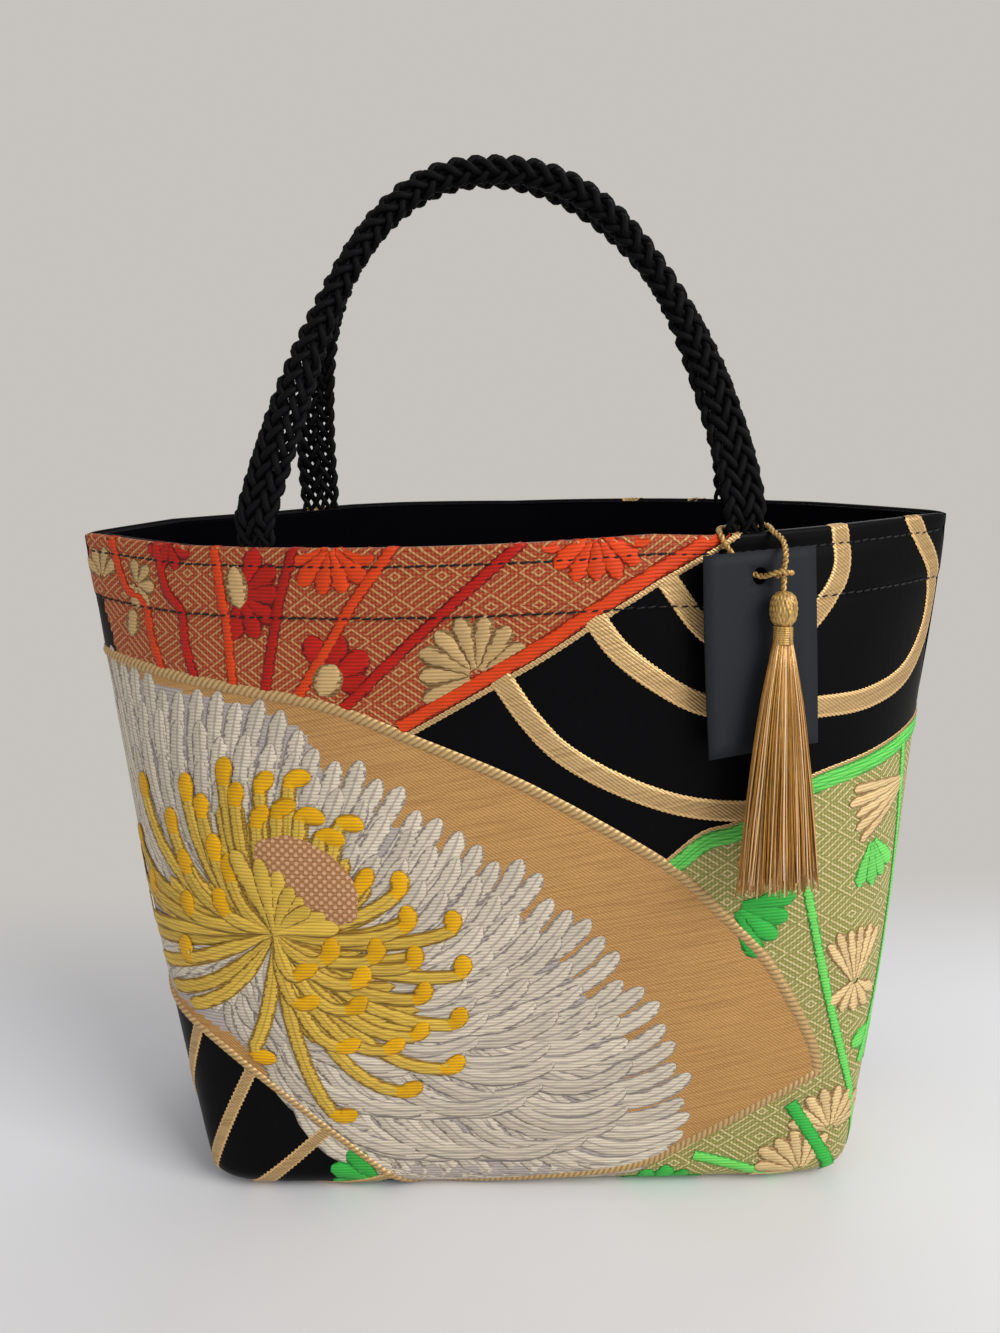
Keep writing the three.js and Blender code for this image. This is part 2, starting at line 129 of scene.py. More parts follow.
WHITE_EDGE = [(-158, 120), (-157, 180), (-119, 179), (-84, 175), (-66, 168), (-53, 158), (-27, 142),
              (12, 110), (35, 79), (49, 56), (52, 25), (36, 9), (0, 3), (-36, 4), (-57, 26), (-78, 47),
              (-95, 63), (-110, 70), (-128, 75), (-158, 80)]
HUB = np.array([-78.0, 99.0])
YELLOW_TIPS = [
    (-128, 145), (-107, 149), (-92, 156), (-77, 152), (-65, 152), (-79, 141), (-70, 143), (-61, 138),
    (-49, 136), (-55, 131), (-47, 121), (-38, 120), (-36, 108), (-22, 106), (-19, 90), (-31, 81),
    (-20, 71), (-32, 66), (-21, 53), (-35, 43), (-54, 60), (-57, 32), (-66, 76), (-82, 53), (-114, 136),
    (-101, 143), (-97, 130), (-92, 124), (-109, 123), (-126, 112), (-134, 125), (-134, 100), (-108, 109),
    (-96, 112), (-110, 93), (-66, 88), (-50, 87), (-51, 76), (-46, 97), (-34, 94), (-142, 114), (-88, 148),
    (-60, 97), (-40, 60),
]
# Long yellow petals without a golden tip, at the lower left
PLAIN_TIPS = [(-134, 91), (-127, 83), (-119, 76), (-110, 72)]
# Which way a white petal points at its tip, by the angle of the tip about the hub, in degrees
TIP_ANGLES = [-180, -135, -90, -60, -40, -20, 0, 20, 45, 90, 135, 150, 180]
TIP_HEADINGS = [-190, -110, -38, 6, 26, 43, 58, 72, 66, 72, 98, 106, 150]
# Rows of white petals from the outer one in: share of the way from the hub, and mm from tip to tip
PETAL_ROWS = [(1.0, 7.4), (0.86, 8.6), (0.68, 8.2), (0.5, 8.0)]
PETAL_WIDTH = 6.6
PETAL_LENGTH = 78.0
# Which way a yellow petal's golden tip turns, by its angle about the hub
HOOK_ANGLES = [-180, -140, -115, -95, -60, -30, 0, 30, 45, 60, 80, 100, 140, 180]
HOOK_HEADINGS = [105, 100, -80, -30, 15, 50, 78, 84, 20, -20, 40, 80, 105, 105]
# By the same angle, shares of a yellow stem's way along and up that it heads for first, and its sag in mm
STEM_ALONG = ([-180, -135, -90, -45, 0, 45, 90, 180], [0.6, 0.4, 0.1, 0.45, 0.6, 0.8, 0.8, 0.8])
STEM_UP = ([-180, -150, -90, -45, 0, 45, 180], [0.45, 0.9, 0.6, 0.95, 0.6, 0.25, 0.3])
STEM_SAG = ([-100, -45, 0, 40], [0, -4, -9, 0])
YELLOW_WIDTH = 5.2
GOLDEN_WIDTH = 6.2
GOLDEN_LENGTH = 8.6
HOOK = 7.0
PLAIN_HOOK = 2.5
# The heart: its place from the hub and its size, and the cup of petals in front of it
HEART = (11, 18)
HEART_LENGTH = 39
HEART_WIDTH = 25
CUP_PETALS = 8
CUP_WIDTH = 6.6
# Length of the cup's petals by share of the way round, in mm
CUP_LENGTHS = ([0, 0.2, 0.45, 0.7, 1], [30, 24, 17, 15, 21])
# How high the figures lie on the cloth and how far they swell, in mm, and how their points crowd to the edge
YELLOW_LIFT = 0.45
LAYER_STEP = 0.007
FIGURE_LIFT = 0.3
RIB_CROWN = 0.08
PETAL_CROWN = 0.03
EDGE_TUCK = 0.25
EDGE_CROWDING = 14.6


def linear(code):
    """Linear colour of an sRGB hex value."""
    parts = [int(code[i:i + 2], 16) / 255 for i in (1, 3, 5)]
    return tuple(c / 12.92 if c <= 0.04045 else ((c + 0.055) / 1.055) ** 2.4 for c in parts)


def length_property(name, description, default):
    """A size that is shown in the scene's length unit."""
    return FloatProperty(name=name, description=description, default=default, min=0, unit="LENGTH")


def colour_property(name, description, code):
    """A colour given as an sRGB hex value."""
    return FloatVectorProperty(name=name, description=description, default=linear(code),
                               subtype="COLOR", size=3, min=0, max=1)


class ToteSizes(bpy.types.PropertyGroup):
    """Sizes of the bag and its trimmings."""

    height: length_property("Height", "Floor to rim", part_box("front_panel")[1].z)
    rim_width: length_property("Rim width", "Tip to tip along the mouth", 286 * MM)
    base_width: length_property("Base width", "Width of the section at the floor", 220 * MM)
    depth: length_property("Depth", "Front to back", 100 * MM)
    strand: length_property("Braid strand", "Diameter of one strand of a handle", 2.3 * MM)
    braid_pitch: length_property("Braid pitch", "Length in which a strand crosses and returns", 46 * MM)
    cord: length_property("Cord", "Diameter of the tassel's cord", 1.8 * MM)
    thread: length_property("Skirt thread", "Diameter of a thread of the tassel's skirt", 0.5 * MM)
    stitch: length_property("Stitch", "Length of one hem stitch", 2.7 * MM)
    threads: IntProperty(name="Skirt threads", description="Threads in the tassel's skirt", default=430,
                         min=40)


class ToteColours(bpy.types.PropertyGroup):
    """Colours of the cloths, silks and trimmings."""

    satin: colour_property("Black satin", "Ground of the brocade", "#050507")
    gold: colour_property("Gold thread", "Flat gold bands and outlines", "#cba873")
    fan: colour_property("Gold fan", "Ground of the gold fan", "#c8975a")
    red_ground: colour_property("Red ground", "Ground of the red fan", "#9c2c18")
    green_ground: colour_property("Green ground", "Ground of the green fan", "#86873f")
    white: colour_property("White silk", "Outer petals", "#d6c9b3")
    yellow: colour_property("Yellow silk", "Inner petals", "#d9b347")
    golden: colour_property("Golden silk", "Tips of the inner petals", "#e3a808")
    red: colour_property("Red silk", "Darker ribs and petals of the red fan", "#b51a0b")
    orange: colour_property("Orange silk", "Lighter ribs and petals of the red fan", "#dc4312")
    green: colour_property("Green silk", "Ribs and border of the green fan", "#6fd65e")
    leaf: colour_property("Leaf green silk", "Blossoms of the green fan", "#36b244")
    cream: colour_property("Cream silk", "Pale blossoms", "#e3c48c")
    braid: colour_property("Braid", "Handles", "#08080b")
    tassel: colour_property("Tassel", "Loose threads of the tassel", "#bd8738")
    tassel_cord: colour_property("Tassel cord", "Cord, head and binding of the tassel", "#c09956")
    card: colour_property("Card", "Swing tag", "#1d2026")
    floor: colour_property("Floor", "Floor near the object", "#e9e8e8")
    backdrop: colour_property("Backdrop", "Far floor and background", "#c6c3be")


def size(name):
    """A size property in millimetres."""
    return getattr(bpy.context.scene.tote_sizes, name) / MM


def colour(name):
    """Linear colour with alpha of a colour property or of an sRGB hex value."""
    plain = linear(name) if name.startswith("#") else getattr(bpy.context.scene.tote_colours, name)
    return (*plain, 1.0)


def lerp(a, b, t):
    return a + (b - a) * t


def ease(t):
    """Smooth step from 0 to 1."""
    t = np.clip(t, 0, 1)
    return t * t * (3 - 2 * t)


def unit(v):
    return v / np.maximum(np.linalg.norm(v, axis=-1, keepdims=True), 1e-12)


def run_length(line):
    """Distance along a line at each of its points."""
    return np.concatenate([[0], np.cumsum(np.linalg.norm(np.diff(line, axis=0), axis=1))])


def resample(line, count):
    """The line again as equal steps."""
    along = run_length(line)
    at = np.linspace(0, along[-1], count)
    return np.stack([np.interp(at, along, line[:, k]) for k in range(line.shape[1])], axis=1)


def through(points, step):
    """Smooth line through given points, in equal steps of about that length."""
    p = np.asarray(points, float)
    p = np.concatenate([[2 * p[0] - p[1]], p, [2 * p[-1] - p[-2]]])
    t = np.linspace(0, 1, 12, endpoint=False)[:, None]
    pieces = []
    for a, b, c, d in zip(p[:-3], p[1:-2], p[2:-1], p[3:]):
        pieces.append(0.5 * (2 * b + (c - a) * t + (2 * a - 5 * b + 4 * c - d) * t**2
                             + (3 * b - a - 3 * c + d) * t**3))
    line = np.concatenate([*pieces, p[-2:-1]])
    return resample(line, max(3, math.ceil(run_length(line)[-1] / step) + 1))


def bend(a, b, c, count, closer=1.0):
    """Quadratic curve from a to c that starts towards b, with its points closer together near its end."""
    t = 1 - (1 - np.linspace(0, 1, count)[:, None]) ** closer
    return (1 - t) ** 2 * np.asarray(a) + 2 * t * (1 - t) * np.asarray(b) + t**2 * np.asarray(c)


def heading(degrees):
    return np.array([math.cos(math.radians(degrees)), math.sin(math.radians(degrees))])


# The bag's wall

def section(z):
    """Half width, half depth, tip factor and the two corner powers of the section at a height."""
    t = np.clip(np.asarray(z, float) / size("height"), 0, 1)
    half_x = lerp(size("base_width"), size("rim_width"), 1 - (1 - t) ** SIDE_BOW) / 2
    half_y = np.full_like(half_x, size("depth") / 2)
    tip = lerp(1, np.hypot(1, half_x / (2 * half_y)), t)
    closing = t**MOUTH_POWER
    return half_x, half_y, tip, lerp(CORNER_POWER, 1, closing), lerp(CORNER_POWER, 2, closing)


def front_at(x, z, inset=0.0):
    """Point of the front wall at a given x."""
    half_x, half_y, tip, power_x, power_y = section(z)
    c = min(1, abs(x) / (half_x - inset * tip)) ** (1 / power_x)
    return np.array([x, -(half_y - inset) * math.sqrt(1 - c * c) ** power_y, z])


def wall_turn(x):
    """Angle of the front wall's rim at a given x, seen from above."""
    wall = front_at(x + 1, size("height")) - front_at(x - 1, size("height"))
    return math.atan2(wall[1], wall[0])


@functools.cache
def half_ring():
    """Section of the front half in units of its half sizes, by height and by share of the way round."""
    turn = np.linspace(-math.pi, 0, 1601)
    shares = np.linspace(-1, 1, 241)
    table = []
    for z in np.linspace(0, size("height"), 112):
        half_x, half_y, _, power_x, power_y = section(z)
        x = np.sign(np.cos(turn)) * np.abs(np.cos(turn)) ** power_x
        y = -np.abs(np.sin(turn)) ** power_y
        along = run_length(np.stack([half_x * x, half_y * y], axis=1))
        share = 2 * along / along[-1] - 1
        table.append([np.interp(shares, share, x), np.interp(shares, share, y)])
    return np.array(table)


def from_table(table, row, column):
    """Values of a table between its rows and columns."""
    row = np.clip(row, 0, table.shape[0] - 1.001)
    column = np.clip(column, 0, table.shape[2] - 1.001)
    i, j = row.astype(int), column.astype(int)
    s, t = row - i, column - j
    return [lerp(lerp(table[i, k, j], table[i, k, j + 1], t),
                 lerp(table[i + 1, k, j], table[i + 1, k, j + 1], t), s) for k in (0, 1)]


# Small rises and dips of the rim from the photograph, in mm, along the front and the back
RIM_ALONG = [-154, -110, -60, 0, 42, 60, 90, 125, 154]
RIM_WAVE = {"front": [-0.6, -1.8, -0.6, 0.8, 1.8, 0.3, 0.0, -0.4, -0.9],
            "back": [-0.6, 0.2, 0.0, -0.5, 0.6, 0.8, 0.3, 0.9, -0.6]}


def spot(u, v, side, inset=0.0, floor=0.0):
    """Place of a point of cloth u mm along from the middle of a panel and v mm up it.
    Above the rim the cloth rolls inwards, and below the wall it turns under to the middle of the base."""
    u, v = np.broadcast_arrays(np.asarray(u, float), np.asarray(v, float))
    height = size("height")
    radius = BOTTOM_RADIUS - inset
    over = np.maximum(v - height, 0)
    roll = np.minimum(over / RIM_ROLL, math.pi)
    turn = np.clip((floor + radius - v) / radius, 0, math.pi / 2)
    rim_z = height + RIM_ROLL * np.sin(roll) - np.maximum(over - math.pi * RIM_ROLL, 0)
    z = np.where(v > height, rim_z, np.where(turn > 0, floor + radius * (1 - np.sin(turn)), v))
    inside = inset + RIM_ROLL * (1 - np.cos(roll)) + radius * (1 - np.cos(turn))
    half_x, half_y, tip, _, _ = section(z)
    under = np.clip((floor + radius * (1 - math.pi / 2) - v) / (half_y - inside), 0, 1)
    table = half_ring()
    x, y = from_table(table, np.clip(z / height, 0, 1) * (table.shape[0] - 1),
                      (u / HALF_RIM + 1) / 2 * (table.shape[2] - 1))
    x = (half_x - inside * tip) * x
    y = (half_y - inside) * y * (1 - under)
    z = z + np.interp(u, RIM_ALONG, RIM_WAVE[side]) * ease((v - 120) / 100)
    turned = 1 if side == "front" else -1
    return np.stack([turned * x, turned * y, z], axis=-1)


# Dips at the hem's stitches and at the side seams, and the height of slack cloth, in mm
STITCH_DIP = 0.35
SEAM_DIP = 0.6
SLACK = 0.55


def relief(u, v):
    """Rise of the brocade's face: the doubled hem, the dips at its stitches and seams, and slack cloth."""
    height = size("height")
    rise = HEM_LIFT * ease((v - (height - HEM_DEPTH)) / 1.4)
    for drop in (UPPER_STITCH_DROP, LOWER_STITCH_DROP):
        rise = rise - STITCH_DIP * np.exp(-(((v - height + drop) / 1.3) ** 2))
    rise = rise - SEAM_DIP * np.exp(-(HALF_RIM - np.minimum(np.abs(u), HALF_RIM)) / 1.6)
    slack = np.sin(u / 31 + v / 90 + 0.6) * np.sin(v / 43 + 1.0) + 0.6 * np.sin(u / 17 - v / 38)
    return rise + SLACK * slack * ease(v / 30) * ease((height - v) / 40)


def place(u, v, lift, side, **layer):
    """Points of cloth raised off the wall along its outward normal."""
    e = 0.4
    across = spot(u + e, v, side, **layer) - spot(u - e, v, side, **layer)
    upward = spot(u, v + e, side, **layer) - spot(u, v - e, side, **layer)
    normal = unit(np.cross(across, upward))
    return spot(u, v, side, **layer) + normal * np.asarray(lift)[..., None]


# Meshes

def new_object(name, mesh, *materials):
    """Links a mesh as a smooth-shaded object with its materials."""
    mesh.shade_smooth()
    for material in materials:
        mesh.materials.append(material)
    made = bpy.data.objects.new(name, mesh)
    bpy.context.scene.collection.objects.link(made)
    return made


def from_bmesh(name, bm, *materials):
    """Turns a finished bmesh in millimetres into an object in metres."""
    bmesh.ops.scale(bm, vec=(MM,) * 3, verts=bm.verts)
    mesh = bpy.data.meshes.new(name)
    bm.to_mesh(mesh)
    bm.free()
    return new_object(name, mesh, *materials)


def dress(piece, body, slot, *nodes):
    """Rides a piece on its body and hides the CAD nodes that it stands for; the slot is not used."""
    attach(piece, body)
    if nodes:
        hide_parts(*nodes)
    return piece


def frames(path):
    """Two directions square to a path at each point, carried along it without twist."""
    ahead = unit(np.gradient(path, axis=0))
    first = np.cross(ahead[0], (0, 0, 1) if abs(ahead[0][2]) < 0.9 else (1, 0, 0))
    side = [unit(first)]
    for t in ahead[1:]:
        side.append(unit(side[-1] - t * np.dot(side[-1], t)))
    side = np.array(side)
    return side, np.cross(ahead, side)


def tube(bm, path, radius, sides, plies=0, lay=1.0):
    """Closed-round tube along a path, from a grid wrapped round it. Plies give it the ridges of twisted yarn,
    each of which goes once round in lay millimetres."""
    rows = len(path) - 1
    one, two = frames(path)
    along = run_length(path)
    radius = np.broadcast_to(radius, rows + 1)
    turn = np.linspace(0, 2 * math.pi, sides + 1)
    swell = np.ones((rows + 1, sides + 1))
    if plies:
        swell = 0.9 + 0.17 * np.abs(np.cos(plies / 2 * (turn[None, :] - 2 * math.pi * along[:, None] / lay)))
    reach = (radius[:, None] * swell)[..., None]
    ring = one[:, None] * np.cos(turn)[None, :, None] + two[:, None] * np.sin(turn)[None, :, None]
    spots = path[:, None] + reach * ring
    verts = bmesh.ops.create_grid(bm, x_segments=sides, y_segments=rows, size=0.5)["verts"]
    for vert in verts:
        i, j = round((vert.co.y + 0.5) * rows), round((vert.co.x + 0.5) * sides)
        vert.co = spots[i, j % sides]
    return verts


def close_tubes(bm, sides):
    """Welds the tubes' seams, closes their ends and turns their faces outwards."""
    bmesh.ops.remove_doubles(bm, verts=bm.verts, dist=1e-4)
    bmesh.ops.holes_fill(bm, edges=[e for e in bm.edges if e.is_boundary], sides=sides)
    bmesh.ops.recalc_face_normals(bm, faces=bm.faces)


# Materials

def plug(node, sockets):
    """Gives a node's sockets values or links. A node as a value stands for its first output in use."""
    for socket, value in sockets.items():
        if isinstance(value, bpy.types.Node):
            value = next(o for o in value.outputs if o.enabled)
        if isinstance(value, bpy.types.NodeSocket):
            node.id_data.links.new(value, node.inputs[socket])
        else:
            node.inputs[socket].default_value = value


def add_node(tree, kind, *values, **named):
    """Adds one shader node. The values go to its sockets in use, in their order. Names in lower case are
    settings, and the others are sockets."""
    made = tree.nodes.new(f"ShaderNode{kind}")
    for name, value in named.items():
        if name.islower():
            setattr(made, name, value)
    in_use = [i for i, socket in enumerate(made.inputs) if socket.enabled]
    plug(made, dict(zip(in_use, values)))
    plug(made, {name.replace("_", " "): value for name, value in named.items() if not name.islower()})
    return made


def finish_material(name, **sockets):
    """A new material, the function that adds its nodes, and its shader with constants on the sockets."""
    material = bpy.data.materials.new(name)
    material.use_nodes = True
    shader = material.node_tree.nodes["Principled BSDF"]
    plug(shader, {socket.replace("_", " "): value for socket, value in sockets.items()})
    return material, functools.partial(add_node, material.node_tree), shader


def mesh_values(add, name):
    """A vector that the mesh carries at each point, whole and in its three parts."""
    vector = add("Attribute", attribute_name=name).outputs["Vector"]
    return vector, *add("SeparateXYZ", vector).outputs


def threads(add, coordinate, pitch):
    """Rounded ridges across a coordinate, one thread a pitch, from 0 to 1."""
    turns = add("Math", coordinate, math.pi / pitch, operation="MULTIPLY")
    return add("Math", add("Math", turns, operation="SINE"), operation="ABSOLUTE")


# Threads in the cloth are about 0.3 mm apart, and are drawn about four times as coarse so that they show
WEFT_PITCH = 1.15
SATIN_FLOAT = 0.9
LOZENGE = 10.0
COUCH_LAY = 2.0


def silk_floss(name, body, outline, share=0.26, metallic=0.0, vein=0.0):
    """Silk floats of a woven figure: weft threads lie side by side across it, and a thin darker binding
    thread steps along its edges and its vein, so that each petal has a stitched outline and a soft sheen."""
    material, add, shader = finish_material(name, Metallic=metallic, Roughness=0.5, Sheen_Weight=0.04,
                                            Sheen_Roughness=0.4, Specular_IOR_Level=0.2)
    cloth, _, v, _ = mesh_values(add, "cloth")
    _, aside, _, tone = mesh_values(add, "weave")
    weft = threads(add, v, WEFT_PITCH)
    row = add("Math", add("Math", v, WEFT_PITCH, operation="DIVIDE"), operation="FLOOR")
    seed = add("Math", tone, 97.0, row, operation="MULTIPLY_ADD")
    step = add("TexWhiteNoise", W=seed, noise_dimensions="1D")
    aside = add("Math", aside, operation="ABSOLUTE")
    stepped = add("Math", step, 0.3, aside, operation="MULTIPLY_ADD")
    edge = add("MapRange", stepped, 1.12 - share, 1.22 - share)
    middle = add("Math", step, 0.1, aside, operation="MULTIPLY_ADD")
    line = add("MapRange", middle, 0.12, 0.22, vein, 0.0)
    ink = add("Math", edge, line, operation="MAXIMUM")
    crossed = add("Math", weft, 0.55, 0.4, operation="MULTIPLY_ADD")
    stitched = add("Math", ink, crossed, operation="MULTIPLY")
    cloudy = add("TexNoise", cloth, Scale=0.22, Detail=2.0)
    level = add("Math", cloudy, 0.3, 0.77, operation="MULTIPLY_ADD")
    dyed = add("Math", tone, 0.2, level, operation="MULTIPLY_ADD")
    ribbed = add("Math", weft, 0.28, 0.8, operation="MULTIPLY_ADD")
    shade = add("Math", dyed, ribbed, operation="MULTIPLY")
    lit = add("VectorMath", body[:3], Scale=shade, operation="SCALE")
    sunk = add("Math", weft, add("Math", ink, 0.8, operation="MULTIPLY"), operation="SUBTRACT")
    plug(shader, {"Base Color": add("Mix", stitched, lit, outline, data_type="RGBA"),
                  "Normal": add("Bump", Distance=0.2 * MM, Height=sunk)})
    return material


def dotted_silk(name, base, dot, pitch):
    """Brown twill of a flower's heart, closely dotted by pale knots."""
    material, add, shader = finish_material(name, Roughness=0.55, Specular_IOR_Level=0.2)
    _, u, v, _ = mesh_values(add, "cloth")
    ways = [add("Math", u, v, operation=way) for way in ("ADD", "SUBTRACT")]
    crossed = add("Math", *(threads(add, way, pitch) for way in ways), operation="MULTIPLY")
    knot = add("MapRange", crossed, 0.4, 0.7, 0.0, 0.85)
    ribbed = add("Math", threads(add, v, WEFT_PITCH), 0.4, 0.75, operation="MULTIPLY_ADD")
    low = add("VectorMath", base[:3], Scale=ribbed, operation="SCALE")
    plug(shader, {"Base Color": add("Mix", knot, low, dot, data_type="RGBA"),
                  "Normal": add("Bump", Distance=0.3 * MM, Height=knot)})
    return material


def gold_cloth(name, base, streak, metallic, streaks, grain=0.3, twill=1.1, lay=0.0):
    """Flat gold-wrapped thread woven as twill: fine diagonal ribs flecked with painted glints, with darker
    streaks along the weft where the gilt paper is worn, and a brighter bound edge along a band. With a lay it
    is a couched cord instead, whose strands twist once in that many mm with painted shade in the hollows
    between them."""
    material, add, shader = finish_material(name, Metallic=metallic, Specular_IOR_Level=0.3)
    cloth, u, v, _ = mesh_values(add, "cloth")
    _, aside, along, _ = mesh_values(add, "weave")
    if lay:
        rib = threads(add, add("Math", aside, 0.5 * lay, along, operation="MULTIPLY_ADD"), lay)
    else:
        rib = threads(add, add("Math", u, 0.8, v, operation="MULTIPLY_ADD"), twill)
    stretched = add("Mapping", cloth, Rotation=(0.0, 0.0, 0.16), Scale=(28.0, 0.85, 1.0),
                    vector_type="TEXTURE")
    worn = add("TexNoise", stretched, Scale=1.0, Detail=5.0, Roughness=0.65)
    wear = add("MapRange", worn, 0.42, 0.72)
    # Painted glints: flecks of noise where the colour turns to a paler gold
    painted_glint = add("MapRange", add("TexNoise", cloth, Scale=1.6, Detail=2.0), 0.58, 0.75)
    # Painted shade: with a lay the colour darkens in the hollows between the cord's strands; on twill the
    # same ribs give its diagonal texture
    shade = add("Math", rib, grain, 1.08 - grain, operation="MULTIPLY_ADD")
    lit = add("VectorMath", base[:3], Scale=shade, operation="SCALE")
    fade = add("Math", wear, streaks, operation="MULTIPLY")
    dark = add("Mix", fade, lit, streak, data_type="RGBA")
    glint_and_edge_gold = (*(min(1.0, c * 1.6) for c in base[:3]), 1.0)
    edge = add("MapRange", add("Math", aside, operation="ABSOLUTE"), 0.66, 0.74, 0.0, 0.0 if lay else 0.8)
    ribbed = add("Math", rib, 0.6, 0.4, operation="MULTIPLY_ADD")
    bound = add("Math", edge, ribbed, operation="MULTIPLY")
    # The paler gold carries the painted glints and the pale thread of the bound edge
    gilt = add("Math", add("Math", painted_glint, 0.5, operation="MULTIPLY"), bound, operation="MAXIMUM")
    plug(shader, {"Base Color": add("Mix", gilt, dark, glint_and_edge_gold, data_type="RGBA"),
                  "Roughness": add("Math", wear, 0.2, 0.4, operation="MULTIPLY_ADD"),
                  "Normal": add("Bump", Distance=0.14 * MM, Height=rib)})
    return material


def lattice_cloth(name, ground, line, width):
    """Brocade ground of linked lozenges: nested lozenges and slanting bars take turns, in dotted gold floats
    raised over a duller ground flecked by the binding threads."""
    material, add, shader = finish_material(name, Metallic=0.2, Roughness=0.5, Specular_IOR_Level=0.2)
    cloth, u, v, _ = mesh_values(add, "cloth")
    slant = add("Math", v, 1.45, operation="MULTIPLY")
    odds, nests, bars = [], [], []
    for turned in ("ADD", "SUBTRACT"):
        way = add("Math", u, slant, operation=turned)
        way = add("Math", way, 1 / (LOZENGE * math.sqrt(2)), operation="MULTIPLY")
        odds.append(add("Math", add("Math", way, operation="FLOOR"), 1.0, operation="PINGPONG"))
        saw = add("Math", add("Math", way, operation="FRACT"), 2.0, -1.0, operation="MULTIPLY_ADD")
        nests.append(add("Math", saw, operation="ABSOLUTE"))
        bars.append(add("Math", way, 2.0, operation="MULTIPLY"))
    odd = add("Math", add("Math", *odds, operation="SUBTRACT"), operation="ABSOLUTE")
    nest = add("Math", *nests, operation="MAXIMUM")
    across = add("Mix", odd, nest, add("Mix", odds[0], *bars))
    stripe = add("Math", add("Math", across, 4.0, operation="MULTIPLY"), 1.0, operation="PINGPONG")
    fleck = add("TexNoise", cloth, Scale=1.3, Detail=2.0)
    lowered = add("Math", stripe, 0.25, operation="SUBTRACT")
    uneven = add("Math", fleck, 0.5, lowered, operation="MULTIPLY_ADD")
    bar = add("MapRange", uneven, 0.9 - width, 1.1 - width)
    weft = threads(add, v, WEFT_PITCH)
    dots = threads(add, u, WEFT_PITCH)
    speck = add("Math", add("Math", weft, dots, operation="MULTIPLY"), 0.4, operation="MULTIPLY")
    low = add("Mix", speck, ground, line, data_type="RGBA")
    shine = add("Math", dots, 0.5, 0.68, operation="MULTIPLY_ADD")
    gilt = add("VectorMath", line[:3], Scale=shine, operation="SCALE")
    raised = add("Math", weft, 0.3, bar, operation="MULTIPLY_ADD")
    plug(shader, {"Base Color": add("Mix", bar, low, gilt, data_type="RGBA"),
                  "Normal": add("Bump", Distance=0.25 * MM, Height=raised)})
    return material


def satin(name, base, roughness=0.42, crease=0.0):
    """Black satin: long floats give a smooth, faintly streaked face with a low broad sheen, and slack satin
    is softly creased."""
    material, add, shader = finish_material(name, Roughness=roughness, Specular_IOR_Level=0.06)
    at = add("TexCoord").outputs["Object"]
    drawn = add("Mapping", at, Scale=(1 / MM, 1 / MM, 0.12 / MM))
    floats = add("TexNoise", drawn, Scale=1 / SATIN_FLOAT, Detail=3.0)
    folds = add("TexNoise", at, Scale=0.045 / MM, Detail=2.0)
    shade = add("Math", floats, 0.7, 0.65, operation="MULTIPLY_ADD")
    rise = add("Math", folds, crease, floats, operation="MULTIPLY_ADD")
    plug(shader, {"Base Color": add("VectorMath", base[:3], Scale=shade, operation="SCALE"),
                  "Normal": add("Bump", Distance=0.06 * MM, Height=rise)})
    return material


def twisted_yarn(name, base, pale=None, grain=0.6, roughness=0.6, sheen=0.3, metallic=0.0, specular=0.5,
                 upright=1.0, depth=0.7):
    """Spun yarn: painted highlights lighten the fibres along the thread in broken lines, and painted shade
    keeps the hollows dark.
    Upright below 1 draws the fibres out along hanging threads. With a pale colour each thread has a tone of
    its own by the mesh's strand values, and the brightest ones are drawn in the pale colour from end to end,
    a painted highlight."""
    material, add, shader = finish_material(name, Roughness=roughness, Sheen_Weight=sheen,
                                            Sheen_Roughness=0.5, Metallic=metallic,
                                            Specular_IOR_Level=specular)
    at = add("TexCoord").outputs["Object"]
    drawn = add("Mapping", at, Scale=(1.0, 1.0, upright))
    fibre = add("TexNoise", drawn, Scale=1 / (grain * MM), Detail=3.0)
    patch = add("TexNoise", at, Scale=0.09 / MM, Detail=1.0)
    level = add("Math", patch, 0.4, 0.8 - 0.5 * depth, operation="MULTIPLY_ADD")
    # Painted light and shade: the fibre noise lightens the colour on the fibres and darkens it in the
    # hollows, as strongly as depth says
    shade = add("Math", fibre, depth, level, operation="MULTIPLY_ADD")
    if pale:
        strand = add("Attribute", attribute_name="strand").outputs["Fac"]
        tone = add("Math", strand, 0.9, 0.55, operation="MULTIPLY_ADD")
        shade = add("Math", shade, tone, operation="MULTIPLY")
    lit = add("VectorMath", base[:3], Scale=shade, operation="SCALE")
    # Painted highlight: threads of high strand value turn to the pale colour
    if pale:
        lit = add("Mix", add("MapRange", strand, 0.6, 0.95), lit, pale, data_type="RGBA")
    plug(shader, {"Base Color": lit, "Normal": add("Bump", Distance=0.12 * MM, Height=fibre)})
    return material


def paper_card(name, base, fibre, roughness=0.7):
    """Uncoated card: matt, with a faint fibre mottle pressed into its face."""
    material, add, shader = finish_material(name, Roughness=roughness, Specular_IOR_Level=0.25)
    at = add("TexCoord").outputs["Object"]
    mottle = add("TexNoise", at, Scale=1 / (fibre * MM), Detail=6.0, Roughness=0.7)
    shade = add("Math", mottle, 0.5, 0.75, operation="MULTIPLY_ADD")
    plug(shader, {"Base Color": add("VectorMath", base[:3], Scale=shade, operation="SCALE"),
                  "Normal": add("Bump", Distance=0.08 * MM, Height=mottle)})
    return material


